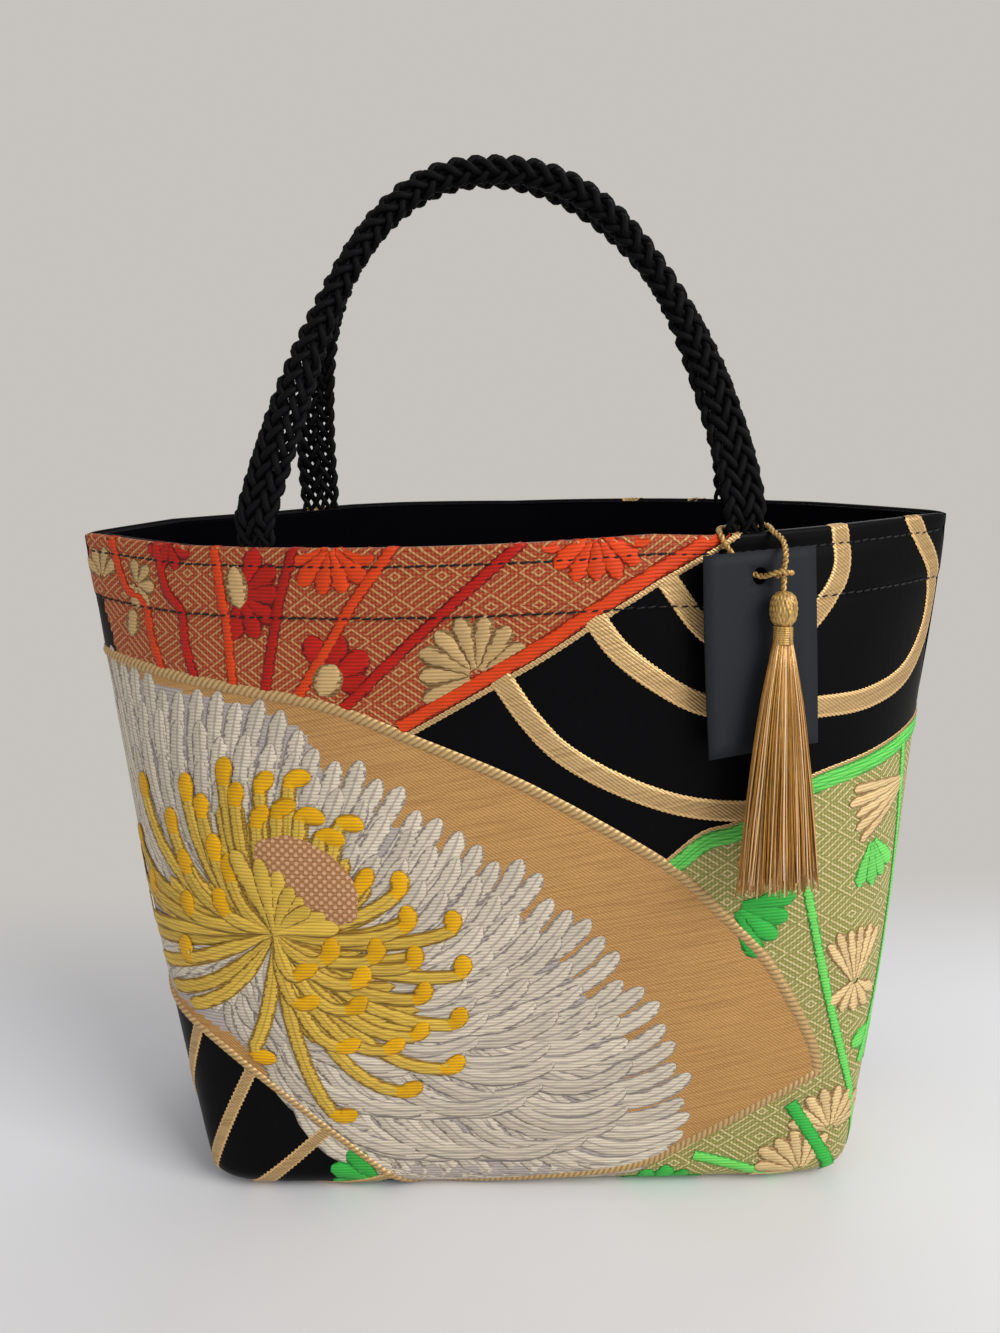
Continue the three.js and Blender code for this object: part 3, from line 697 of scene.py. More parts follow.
# The finishes: what makes each one, its colours by property or hex value, and its looks
GROUNDS = ["black_satin", "gold_fan_twill", "shaded_white_silk", "red_lattice_brocade",
           "green_lattice_brocade"]
GOLD_YARN = {"roughness": 0.32, "sheen": 0.0, "metallic": 0.3, "upright": 0.06}
FINISHES = {
    "black_satin": (satin, ["satin"], {}),
    "gold_fan_twill": (gold_cloth, ["fan", "#8c6236"], {"metallic": 0.3, "streaks": 0.6}),
    "shaded_white_silk": (silk_floss, ["#b5aaa2", "#b0a49e"], {}),
    "red_lattice_brocade": (lattice_cloth, ["red_ground", "#c8955f"], {"width": 0.3}),
    "green_lattice_brocade": (lattice_cloth, ["green_ground", "#dccb94"], {"width": 0.28}),
    "white_silk": (silk_floss, ["white", "#7c7270"], {"share": 0.24, "vein": 0.6}),
    "yellow_silk": (silk_floss, ["yellow", "#7a5416"], {"share": 0.32, "vein": 0.45}),
    "cup_silk": (silk_floss, ["yellow", "#6e4520"], {"share": 0.2}),
    "golden_silk": (silk_floss, ["golden", "#9a6c0c"], {"share": 0.16}),
    "heart_silk": (dotted_silk, ["#ab784c", "#dcb088"], {"pitch": 2.9}),
    "red_silk": (silk_floss, ["red", "#4e0a06"], {"share": 0.24}),
    "orange_silk": (silk_floss, ["orange", "#6c1208"], {"share": 0.2}),
    "green_silk": (silk_floss, ["green", "#23802a"], {"share": 0.2}),
    "leaf_silk": (silk_floss, ["leaf", "#14701f"], {"share": 0.2}),
    "cream_silk": (silk_floss, ["cream", "#8e6536"], {"share": 0.34, "metallic": 0.15}),
    "gilt_silk": (silk_floss, ["gold", "#6b4a22"], {"share": 0.34, "metallic": 0.3}),
    "gold_band": (gold_cloth, ["gold", "#7c5a34"],
                  {"metallic": 0.5, "streaks": 0.6, "grain": 0.45, "twill": 1.2}),
    "gold_couching": (gold_cloth, ["gold", "#a67c3e"],
                      {"metallic": 0.5, "streaks": 0.2, "grain": 0.6, "lay": COUCH_LAY}),
    "cotton_canvas": (twisted_yarn, ["#cfc6b4"], {"grain": 0.8, "roughness": 0.9}),
    "satin_lining": (satin, ["#06060a"], {"roughness": 0.4, "crease": 2.0}),
    "black_sewing_thread": (twisted_yarn, ["#0d0c10"],
                            {"grain": 0.4, "roughness": 0.5, "sheen": 0.0, "specular": 0.3}),
    "black_braided_cord": (twisted_yarn, ["braid"],
                           {"grain": 0.5, "roughness": 0.65, "sheen": 0.0, "specular": 0.1}),
    "gold_rayon_thread": (twisted_yarn, ["tassel_cord"], {"depth": 2.6, **GOLD_YARN}),
    # ffe0b2 is the painted highlight of the brightest tassel threads
    "gold_rayon_strands": (twisted_yarn, ["tassel", "#ffe0b2"], {"depth": 1.2, **GOLD_YARN}),
    "charcoal_card": (paper_card, ["card"], {"fibre": 0.9}),
    "grey_board": (paper_card, ["#5a544c"], {"fibre": 1.6, "roughness": 0.85}),
}


@functools.cache
def finish(name):
    """The material of a finish, made once."""
    make, colours, looks = FINISHES[name]
    return make(name, *(colour(c) for c in colours), **looks)


# Woven panels

def as_drawn(points):
    """The layout of a panel whose figures lie where they are drawn."""
    return points


class Loom:
    """Raised figures of one panel, woven strip by strip on its face, with one mesh for each silk."""

    def __init__(self, side, layout=as_drawn, seed=5):
        self.side = side
        self.layout = layout
        self.draw = random.Random(seed)
        self.meshes = {}

    def mesh(self, silk_name):
        """The silk's bmesh, with the two layers that its material reads."""
        if silk_name not in self.meshes:
            bm = bmesh.new()
            bm.verts.layers.float_vector.new("weave")
            bm.verts.layers.float_vector.new("cloth")
            self.meshes[silk_name] = bm
        return self.meshes[silk_name]

    def strip(self, silk_name, line, width, lift, crown, across=4, ragged=0.0, rope=0.0):
        """A crowned strip of floats along a line of the cloth, tucked into the face at its edges.
        Ragged steps its edges by that many mm, and rope makes it a round cord with ridges of that lay."""
        bm = self.mesh(silk_name)
        weave, flat = (bm.verts.layers.float_vector[n] for n in ("weave", "cloth"))
        line = self.layout(np.asarray(line, float))
        rows = len(line) - 1
        ahead = unit(np.gradient(line, axis=0))
        aside = np.stack([ahead[:, 1], -ahead[:, 0]], axis=1)
        along = run_length(line)
        a = np.linspace(-1, 1, across + 1)
        a = a if rope else np.sign(a) * (1 - (1 - np.abs(a)) ** (EDGE_CROWDING / across))
        half = np.broadcast_to(np.asarray(width, float) / 2, rows + 1)
        reach = half[:, None] * a
        saw = (ragged * np.minimum(half, 1.5) / 1.5 * (np.arange(rows + 1) % 2 - 0.5))[:, None]
        reach[:, :across // 2] += saw
        reach[:, across // 2 + 1:] += saw
        cloth = line[:, None] + aside[:, None] * reach[..., None]
        high = lift + crown * (1 - a**2)[None, :] - EDGE_TUCK * (np.abs(a) > 0.99)[None, :]
        if rope:
            ridge = np.abs(np.sin(math.pi * (along[:, None] / rope + a[None, :] * 0.5)))
            high = high + 0.7 * crown * (ridge - 0.6) * (1 - a**2)[None, :]
        high = high + relief(cloth[..., 0], cloth[..., 1])
        spots = place(cloth[..., 0], cloth[..., 1], high, self.side)
        tone = self.draw.random()
        made = bmesh.ops.create_grid(bm, x_segments=across, y_segments=rows, size=0.5)["verts"]
        for vert in made:
            i, j = round((vert.co.y + 0.5) * rows), round((vert.co.x + 0.5) * across)
            vert[weave] = (a[j], along[i], tone)
            vert[flat] = (*cloth[i, j], 0)
            vert.co = spots[i, j]

    def rib(self, silk_name, points, width, lift=FIGURE_LIFT, ragged=0.4):
        """A flat rib through given points."""
        self.strip(silk_name, through(points, 1.2), width, lift, RIB_CROWN, ragged=ragged)

    def arc(self, line, lift=0.28):
        """A broad gold band."""
        self.strip("gold_band", line, 6.8, lift, 0.12, across=8, ragged=0.3)

    def couch_fan(self, step):
        """Couched gold cord along the three edges of the gold fan."""
        for line, width in ((FAN_TOP, 3.5), (FAN_FOOT, 2.8), (FAN_SIDE, 2.6)):
            self.strip("gold_couching", through(line, step), width, 0.25, 0.5, across=6, rope=COUCH_LAY)

    def petal(self, silk_name, line, width, lift, crown, waist=0.5, tip=0.6, full=0.75, ragged=0.0):
        """A strip that widens from its waist to its full width over that share of its length,
        and rounds off at its tip over that share of its width."""
        along = run_length(line)
        grow = lerp(waist, 1, ease(along / along[-1] / full))
        left = np.clip((along[-1] - along) / (tip * width), 0, 1)
        width = width * grow * np.sqrt(np.clip(1 - (1 - left) ** 2, 0.02, 1))
        self.strip(silk_name, line, width, lift, crown, ragged=ragged)

    def blossom(self, silk_name, centre, radius, first, last, petals, lift=0.25):
        """Petals fanned about a point from one heading to another."""
        spread = abs(last - first) / (petals - 1)
        width = 2 * radius * 0.82 * math.sin(math.radians(min(spread, 60)) / 2) * 1.04
        for k in range(petals):
            way = heading(lerp(first, last, k / (petals - 1)))
            reach = radius * (1 + 0.12 * (self.draw.random() - 0.5))
            root, middle, tip = (centre + way * far for far in (radius * 0.12, radius * 0.5, reach))
            line = bend(root, middle, tip, 12, 1.4)
            self.petal(silk_name, line, width, lift + 0.04 * (k % 2), 0.05, waist=0.35, ragged=0.35)

    def oval(self, silk_name, centre, long, wide, degrees, lift=0.4, crown=0.1):
        """A round or oval spot."""
        t = np.linspace(-1, 1, 9)
        line = centre + t[:, None] * heading(degrees) * long / 2
        self.strip(silk_name, line, wide * np.sqrt(np.clip(1 - t**2, 0.01, 1)), lift, crown)

    def take_off(self):
        """The silks' objects, riding on the bag."""
        pieces = []
        for silk_name, bm in self.meshes.items():
            bmesh.ops.dissolve_degenerate(bm, edges=bm.edges, dist=1e-4)
            piece = from_bmesh(f"{self.side}_{silk_name}", bm, finish(silk_name))
            pieces.append(dress(piece, "bag", "brocade"))
        return pieces


def inside(points, outline):
    """Which points lie inside an outline."""
    found = np.zeros(len(points), bool)
    x, y = points[:, 0], points[:, 1]
    for (ax, ay), (bx, by) in zip(outline, np.roll(outline, -1, axis=0)):
        cuts = (ay > y) != (by > y)
        found ^= cuts & (x < (bx - ax) * (y - ay) / (by - ay + 1e-12) + ax)
    return found


def cloth_sheet(name, side, columns, levels, materials, lift, **layer):
    """A sheet laid along the wall of one side, from the bottom level to the top one."""
    bm = bmesh.new()
    bmesh.ops.create_grid(bm, x_segments=columns, y_segments=len(levels) - 1, size=0.5)
    mesh = bpy.data.meshes.new(name)
    bm.to_mesh(mesh)
    bm.free()
    flat = np.empty(len(mesh.vertices) * 3)
    mesh.vertices.foreach_get("co", flat)
    flat = flat.reshape(-1, 3) + 0.5
    u = lerp(-HALF_RIM, HALF_RIM, flat[:, 0])
    v = np.asarray(levels)[np.rint(flat[:, 1] * (len(levels) - 1)).astype(int)]
    mesh.vertices.foreach_set("co", (place(u, v, lift(u, v), side, **layer) * MM).ravel())
    none = np.zeros_like(u)
    cloth = mesh.attributes.new("cloth", "FLOAT_VECTOR", "POINT")
    cloth.data.foreach_set("vector", np.stack([u, v, none], axis=1).ravel())
    weave = mesh.attributes.new("weave", "FLOAT_VECTOR", "POINT")
    weave.data.foreach_set("vector", np.stack([none, v, none + 0.5], axis=1).ravel())
    piece = new_object(name, mesh, *materials)
    thickness = piece.modifiers.new("Cloth thickness", "SOLIDIFY")
    thickness.thickness = CLOTH_THICKNESS * MM
    thickness.offset = -1
    return piece


def paint_grounds(piece, grounds):
    """Gives each face of a panel the ground that its middle lies in: the first outline that holds it."""
    mesh = piece.data
    corner = np.empty(len(mesh.vertices) * 3)
    mesh.attributes["cloth"].data.foreach_get("vector", corner)
    corner = corner.reshape(-1, 3)[:, :2]
    faces = np.array([p.vertices[:] for p in mesh.polygons])
    middle = corner[faces].mean(axis=1)
    index = np.zeros(len(faces), int)
    for name, outline in reversed(grounds):
        index[inside(middle, np.asarray(outline, float))] = GROUNDS.index(name)
    mesh.polygons.foreach_set("material_index", index)


def angle_about_hub(tip):
    """Angle of a petal's tip about the flower's hub, in degrees."""
    along, up = tip - HUB
    return math.degrees(math.atan2(up, along))


def weave_white_petals(loom):
    """White outer petals in rows that overlap inwards."""
    edge = np.asarray(WHITE_EDGE, float)
    for row, (share, pitch) in enumerate(PETAL_ROWS):
        tips = through(HUB + (edge - HUB) * share, pitch)
        tips = (tips[1:] + tips[:-1]) / 2 if row % 2 else tips
        for k, tip in enumerate(tips):
            out = tip - HUB
            outward = np.interp(angle_about_hub(tip), TIP_ANGLES, TIP_HEADINGS)
            way = heading(outward + loom.draw.uniform(-5, 5))
            tip = tip + way * loom.draw.uniform(-3.5, 2.5)
            root = HUB + out * max(1 - PETAL_LENGTH / np.linalg.norm(out), 0.12)
            far = np.linalg.norm(tip - root)
            line = bend(root, tip - 0.55 * far * way, tip, 13, 1.8)
            lift = 0.1 + 0.06 * row + 0.018 * (k % 3)
            loom.petal("white_silk", line, PETAL_WIDTH, lift, PETAL_CROWN, waist=0.6, tip=0.95)


def weave_yellow_petals(loom):
    """Yellow inner petals, the longest lowest: plain ones first, then hooked ones with a golden tip."""
    tips = sorted((np.array(t) for t in YELLOW_TIPS), key=lambda t: -np.linalg.norm(t - HUB))
    turned = sorted(tips, key=angle_about_hub)
    between = [HUB + 0.43 * (a + b - 2 * HUB) for a, b in zip(turned, turned[1:])
               if unit(a - HUB) @ unit(b - HUB) > 0.95]
    plain = [np.array(t) for t in PLAIN_TIPS] + between
    for k, tip in enumerate(plain + tips):
        angle = angle_about_hub(tip)
        hook = PLAIN_HOOK if k < len(plain) else HOOK
        knee = tip - heading(np.interp(angle, HOOK_ANGLES, HOOK_HEADINGS)) * hook
        shares = np.interp(angle, *STEM_ALONG), np.interp(angle, *STEM_UP)
        stem = bend(HUB, HUB + (knee - HUB) * shares + (0, np.interp(angle, *STEM_SAG)), knee, 10)
        turn = bend(knee, knee + unit(stem[-1] - stem[-2]) * 3.0, tip, 7)
        line = resample(np.concatenate([stem, turn[1:]]), 30)
        lift = YELLOW_LIFT + LAYER_STEP * k
        loom.petal("yellow_silk", line[::2], YELLOW_WIDTH, lift, PETAL_CROWN, waist=0.3, full=0.42)
        if k < len(plain):
            continue
        left = run_length(line)[-1] - run_length(line)
        cap = resample(line[left < GOLDEN_LENGTH], 9)
        cap = np.concatenate([cap, [cap[-1] + unit(cap[-1] - cap[-2]) * s for s in (0.7, 1.2)]])
        loom.petal("golden_silk", cap, GOLDEN_WIDTH, lift + 0.006, PETAL_CROWN, waist=0.7, full=0.5, tip=0.75)


def weave_heart(loom):
    """The flower's dotted heart, and the cup of short petals in front of it."""
    loom.oval("heart_silk", HUB + HEART, HEART_LENGTH, HEART_WIDTH, -40, lift=1.2, crown=0.05)
    for k in range(CUP_PETALS):
        turn = k / (CUP_PETALS - 1)
        way = heading(lerp(114, 6, turn))
        long = np.interp(turn, *CUP_LENGTHS)
        line = bend(HUB, HUB + way * long * 0.5 + (0, 1.5), HUB + way * long, 13, 1.4)
        width = CUP_WIDTH - 1.2 * math.sin(math.pi * turn)
        loom.petal("cup_silk", line, width, 1.3 + 0.03 * (k % 2), PETAL_CROWN, waist=0.3)


def weave_chrysanthemum(loom):
    """The large flower, from its outer petals in."""
    weave_white_petals(loom)
    weave_yellow_petals(loom)
    weave_heart(loom)


def white_ground():
    """Outline of the white ground, which stops short of the petals' tips where gold shows between them."""
    out = np.asarray(WHITE_EDGE, float) - HUB
    angle = np.degrees(np.arctan2(out[:, 1], out[:, 0]))
    gold_between = (angle > -38) & (angle < 80)
    overlapped = (angle > -170) & (angle < -60)
    share = np.where(gold_between, 0.82, np.where(overlapped, 1.06, 0.985))
    return HUB + out * share[:, None]


def weave_front():
    """The front panel and its figures, laid out as in the photograph."""
    loom = Loom("front")
    weave_chrysanthemum(loom)
    loom.couch_fan(0.5)
    for arc in GOLD_ARCS:
        loom.arc(through(arc, 0.8))
    for silk_name, rib in RED_RIBS:
        loom.rib(silk_name, rib, 3.7, ragged=0.45)
    red_edge = through(RED_EDGE, 1.0)
    loom.strip("orange_silk", red_edge, 4.8, FIGURE_LIFT, RIB_CROWN, ragged=0.3)
    loom.strip("gold_band", red_edge + (1.9, -2.9), 1.6, FIGURE_LIFT, 0.2, across=2, ragged=0.5)
    loom.blossom("orange_silk", (-55, 224), 15, 200, 342, 6)
    loom.blossom("orange_silk", (24, 226), 16, 196, 344, 7)
    loom.blossom("red_silk", (-114, 224), 9, 205, 335, 4)
    loom.blossom("red_silk", (-86, 209), 15, -100, 65, 6)
    loom.oval("gilt_silk", (-87, 211), 13, 8.5, 100)
    loom.blossom("red_silk", (-58, 183), 15, -10, 110, 4)
    loom.oval("gilt_silk", (-57.5, 183), 11, 10, 60)
    loom.blossom("gilt_silk", (-12, 184), 18, 30, 205, 8)
    loom.blossom("gilt_silk", (-146, 209), 10, 40, 150, 4)
    loom.blossom("gilt_silk", (-128, 209), 8, -150, 100, 6)
    loom.oval("gilt_silk", (-131, 196), 9, 7, 80, lift=0.35)
    for rib in BLACK_RIBS:
        loom.strip("gold_band", through(rib, 0.9), 4.2, 0.28, 0.15, ragged=0.5)
    border = through(GREEN_TOP, 1.2)
    loom.strip("green_silk", border, 5.6, FIGURE_LIFT, RIB_CROWN, ragged=0.3)
    for aside in (-1.0, 1.0):
        loom.strip("leaf_silk", border + (0.35 * aside, aside), 0.55, 0.5, 0.05, across=2, ragged=0.2)
    loom.strip("gold_band", border + (-1.2, 3.0), 1.3, FIGURE_LIFT, 0.2, across=2, ragged=0.4)
    for rib in GREEN_RIBS:
        loom.rib("green_silk", rib, 3.2, lift=0.34)
    loom.rib("leaf_silk", [(87, 32), (96, 18), (106, 2)], 4.6, lift=0.5)
    loom.rib("green_silk", [(56, 13), (72, 8), (90, 0)], 4.0, lift=0.32)
    loom.blossom("leaf_silk", (66, 106), 19, -68, 6, 4)
    loom.blossom("cream_silk", (70, 112), 11, 100, 20, 4)
    loom.blossom("green_silk", (115, 122), 17, -112, -48, 4)
    loom.blossom("cream_silk", (138, 137), 32, 176, 208, 5, lift=0.32)
    loom.blossom("cream_silk", (108, 72), 21, 58, 122, 6, lift=0.36)
    loom.blossom("cream_silk", (108, 74), 12, 215, 325, 5, lift=0.36)
    loom.blossom("cream_silk", (102, 20), 16, 20, 165, 8, lift=0.36)
    loom.blossom("cream_silk", (93, 5), 17, 60, 190, 7, lift=0.36)
    loom.blossom("green_silk", (124, 54), 16, 195, 262, 3)
    loom.blossom("leaf_silk", (47, -7), 16, 5, 175, 7)
    loom.blossom("leaf_silk", (-50, 1), 20, 122, 178, 3)
    loom.strip("gold_band", through([(-80, -4), (-58, 3), (-46, 7)], 0.9), 2.6, 0.5, 0.2, ragged=0.4)
    red = [(-158, 230), (68, 230), *RED_EDGE, *RED_LEFT]
    green = [*GREEN_TOP, (158, -60), (-20, -60), *FAN_FOOT[-2:0:-1], *FAN_TOP[:6:-1]]
    grounds = [("shaded_white_silk", white_ground()), ("gold_fan_twill", FAN), ("red_lattice_brocade", red),
               ("green_lattice_brocade", green)]
    make_panel("front", grounds, loom.take_off())


def make_panel(side, grounds, figures):
    """A brocade panel from the turned-in rim to the middle of the base."""
    levels = np.concatenate([np.linspace(-46.1, -5.5, 24), np.linspace(-5, 9, 9),
                             np.linspace(10.5, 219.5, 140), np.linspace(220.5, 227, 15)])
    piece = cloth_sheet(f"{side}_brocade", side, 220, levels, [finish(g) for g in GROUNDS], relief)
    paint_grounds(piece, grounds)
    dress(piece, "bag", "brocade", f"{side}_panel")


def weave_back():
    """The back panel, which the photograph doesn't show: the same figures in another arrangement."""
    def layout(p):
        """The front's figures turned round, smaller and lower."""
        return np.stack([24 - 0.86 * p[..., 0], 0.86 * p[..., 1] - 16], axis=-1)

    loom = Loom("back", layout, seed=9)
    weave_chrysanthemum(loom)
    loom.couch_fan(0.6)
    loom.layout = as_drawn
    fan = layout(np.asarray(FAN, float))
    turn = np.linspace(185, 318, 40)
    for radius in (22, 50, 78):
        arc = np.array([(96, 226) + radius * heading(t) for t in turn])
        loom.arc(resample(arc[arc[:, 1] < 225], 130))
        arc = np.array([(-30, 232) + radius * 0.8 * heading(t) for t in turn])
        loom.arc(resample(arc[(arc[:, 1] < 225) & ~inside(arc, fan)], 90), lift=0.22)
    grounds = [("shaded_white_silk", layout(white_ground())), ("gold_fan_twill", fan)]
    make_panel("back", grounds, loom.take_off())


# Inner layers

def canvas_sink(u, v):
    """The canvas lies clear of the brocade all over."""
    return np.full_like(u, -0.4)


def make_interlining(side):
    """Stiff canvas between the brocade and the lining."""
    levels = np.concatenate([np.linspace(-42, -5, 10), np.linspace(-3.5, 8, 6), np.linspace(12, 198, 40)])
    piece = cloth_sheet(f"{side}_canvas", side, 80, levels, [finish("cotton_canvas")], canvas_sink,
                        inset=INTERLINING_INSET, floor=INTERLINING_INSET)
    dress(piece, "bag", "interlining_canvas", f"{side}_interlining")


def lining_folds(u, v):
    """Slack of the lining, inwards only, which fades at the rim."""
    slack = 1.1 + np.sin(u / 19 + v / 60) * np.sin(v / 37 + 0.4) + 0.5 * np.sin(u / 8.5 + v / 23)
    return -0.75 * np.clip(slack, 0, 3) * ease((size("height") - 3 - v) / 50) * ease((v - 12) / 40)


def make_lining(side):
    """Satin lining, turned over at the rim against the brocade."""
    levels = np.concatenate([np.linspace(-41, 2.5, 20), np.linspace(4, 12, 6), np.linspace(14, 219, 96),
                             np.linspace(219.8, 223.2, 8)])
    piece = cloth_sheet(f"{side}_satin_lining", side, 150, levels, [finish("satin_lining")], lining_folds,
                        inset=LINING_INSET, floor=LINING_FLOOR)
    dress(piece, "bag", "satin_lining", f"{side}_lining")


# Hem stitches

STITCH_GAP = 0.7
STITCH_RADIUS = 0.36
STITCH_RISE = 0.42
STITCH_SINK = 0.12


def make_stitches(side):
    """Two rows of lock stitches round the hem, each a short arch of thread that dips into the cloth."""
    for name, drop in (("upper", UPPER_STITCH_DROP), ("lower", LOWER_STITCH_DROP)):
        bm = bmesh.new()
        step = size("stitch") + STITCH_GAP
        count = int((2 * HALF_RIM - 6) / step)
        share = np.linspace(0, 1, 6)
        draw = random.Random(drop)
        for k in range(count):
            u = (k - count / 2) * step + share * size("stitch") + draw.uniform(-0.15, 0.15)
            v = size("height") - drop + draw.uniform(-0.12, 0.12) + lerp(-0.14, 0.14, share)
            lift = relief(u, v) + STITCH_RISE * np.sin(math.pi * share) - STITCH_SINK
            tube(bm, place(u, v, lift, side), STITCH_RADIUS, 6)
        close_tubes(bm, 6)
        piece = from_bmesh(f"{side}_{name}_stitches", bm, finish("black_sewing_thread"))
        dress(piece, "bag", "stitch_thread", f"{side}_{name}_stitch")


# Braided handles

HANDLE_SPREAD = 148.0
HANDLE_OFFSET = -4.5
HANDLE_FOOT = 230.3
HANDLE_TOP = 330.0
TUCK_DEPTH = 21.0
CROWN_INSET = 4.8
STRANDS = 8
BRAID_HALF = 6.7
CROWN_CURL = 2.9
STRAND_PLIES = 3
STRAND_LAY = 6.5
# How square the left and right halves of each arch hang, how full they are, and how far the crown has
# slid, as on the front
ARCHES = {"front": ((0.95, 1.28), 2.44, -6.4), "back": ((1.49, 2.31), 2.0, 7.2)}


def handle_line(side):
    """Centre line of a handle, as on the front, from its left tuck over the crown to its right one."""
    ends = (HANDLE_OFFSET - HANDLE_SPREAD / 2, HANDLE_OFFSET + HANDLE_SPREAD / 2)
    levels = np.linspace(size("height") - TUCK_DEPTH, 228, 12)
    left, right = ([front_at(x, z, LEG_INSET) for z in levels] for x in ends)
    powers, fullness, crown = ARCHES[side]
    arch = []
    for turn in np.linspace(math.pi, 0, 120)[1:-1]:
        half = int(turn < math.pi / 2)
        h = math.sin(turn) ** (2 / powers[half])
        x = lerp(crown, ends[half], abs(math.cos(turn)) ** (2 / fullness))
        leg_y = lerp(right[-1][1], left[-1][1], turn / math.pi)
        arch.append((x, lerp(leg_y, -CROWN_INSET, h**1.15), lerp(HANDLE_FOOT, HANDLE_TOP, h)))
    return through([*left, *arch, *right[::-1]], 0.75)


def make_handle(side):
    """Eight twisted strands plaited flat and open, over two and under two, so that they stand in columns
    of chevrons with small gaps between them. The plait's edges curl back to back towards the crown."""
    line = handle_line(side)
    ahead = unit(np.gradient(line, axis=0))
    along = run_length(line)
    rise = np.clip((line[:, 2] - size("height")) / 8, 0, 1)
    up = ease(np.minimum(along, along[-1] - along) / along[-1] / 0.25 - 0.35)
    slopes = [wall_turn(HANDLE_OFFSET + x) for x in (-HANDLE_SPREAD / 2, HANDLE_SPREAD / 2)]
    slope = np.where(along < along[-1] / 2, *slopes) * (1 - up)
    facing = np.stack([-np.sin(slope), np.cos(slope), 0 * slope], axis=1)
    across = unit(np.cross(facing, ahead))
    back = np.cross(ahead, across)
    curl = np.maximum(CROWN_CURL * up, 1e-3)[:, None]
    strand = size("strand") / 2
    bm = bmesh.new()
    for k in range(STRANDS):
        q = along / size("braid_pitch") + k / STRANDS
        swing = np.arcsin(0.985 * np.sin(2 * math.pi * q)) * 2 / math.pi
        leg = np.clip(2.5 * np.cos(2 * math.pi * q), -1, 1)
        weave = leg * np.clip(1.4 * np.cos(math.pi * STRANDS * q + math.pi / 4 * np.sign(leg)), -1, 1)
        angle = curl * swing[:, None]
        radius = BRAID_HALF / curl
        over = (-strand * weave * lerp(0.25, 0.95, rise))[:, None]
        centre = radius * (1 - np.cos(curl)) * 0.42
        path = line + across * (radius - over) * np.sin(angle)
        path = path + back * (radius - centre - (radius - over) * np.cos(angle))
        thick = strand * lerp(0.55, 1.0, rise) * (1 - 0.1 * up)
        tube(bm, path, thick, 9, plies=STRAND_PLIES, lay=STRAND_LAY)
    close_tubes(bm, 9)
    if side == "back":
        bmesh.ops.rotate(bm, cent=(0, 0, 0), matrix=Matrix.Rotation(math.pi, 3, "Z"), verts=bm.verts)
    piece = from_bmesh(f"{side}_braided_handle", bm, finish("black_braided_cord"))
    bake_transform(piece)
    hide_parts(f"{side}_handle", f"{side}_handle_left_end", f"{side}_handle_right_end")


# Tassel and tag, hung on the front wall beside the right handle

HANG_X = 71.0
TAG_LEAN = math.radians(6.02)
TASSEL_LEAN = math.radians(8.81)
TASSEL_TILT = math.radians(4.0)
STRAND_BEHIND = 2.3
TAG_BACK = 4.591
TAG_THICKNESS = 0.8
TAG_FRONT = TAG_BACK + TAG_THICKNESS
HANG_OUT = 10.491
STRAND_GAP = 8.12
HITCH_ASIDE = 5.0
HITCH_DROP = 8.6
HOLE_DROP = 10.6
LOOP_END = 11.0
DROP_END = 14.1
HEAD_TOP = 14.4
HEAD_LENGTH = 10.2
HEAD_DIAMETER = 7.8
NECK_LENGTH = 5.8
NECK_RADIUS = 2.1
BINDING_TURNS = 8.5
BINDING_RADIUS = 0.42
SKIRT_LENGTH = 74.0
SKIRT_WIDTH = 29.0
SKIRT_DEPTH = 12.0


def hang(a, n, up):
    """Point a mm along the wall, n mm out from it and up from the rim."""
    turn = wall_turn(HANG_X)
    along = np.array([math.cos(turn), math.sin(turn), 0])
    outward = np.array([math.sin(turn), -math.cos(turn), 0])
    return front_at(HANG_X, size("height") + up) + along * a + outward * n


def hang_matrix(a, n, up, lean, tilt=0.0):
    """Frame of a hanging piece: across the wall, into it and up, leaning out and aside at its foot."""
    turn = Matrix.Rotation(wall_turn(HANG_X), 4, "Z")
    turn = turn @ Matrix.Rotation(-lean, 4, "X") @ Matrix.Rotation(tilt, 4, "Y")
    return Matrix.Translation(hang(a, n, up)) @ turn


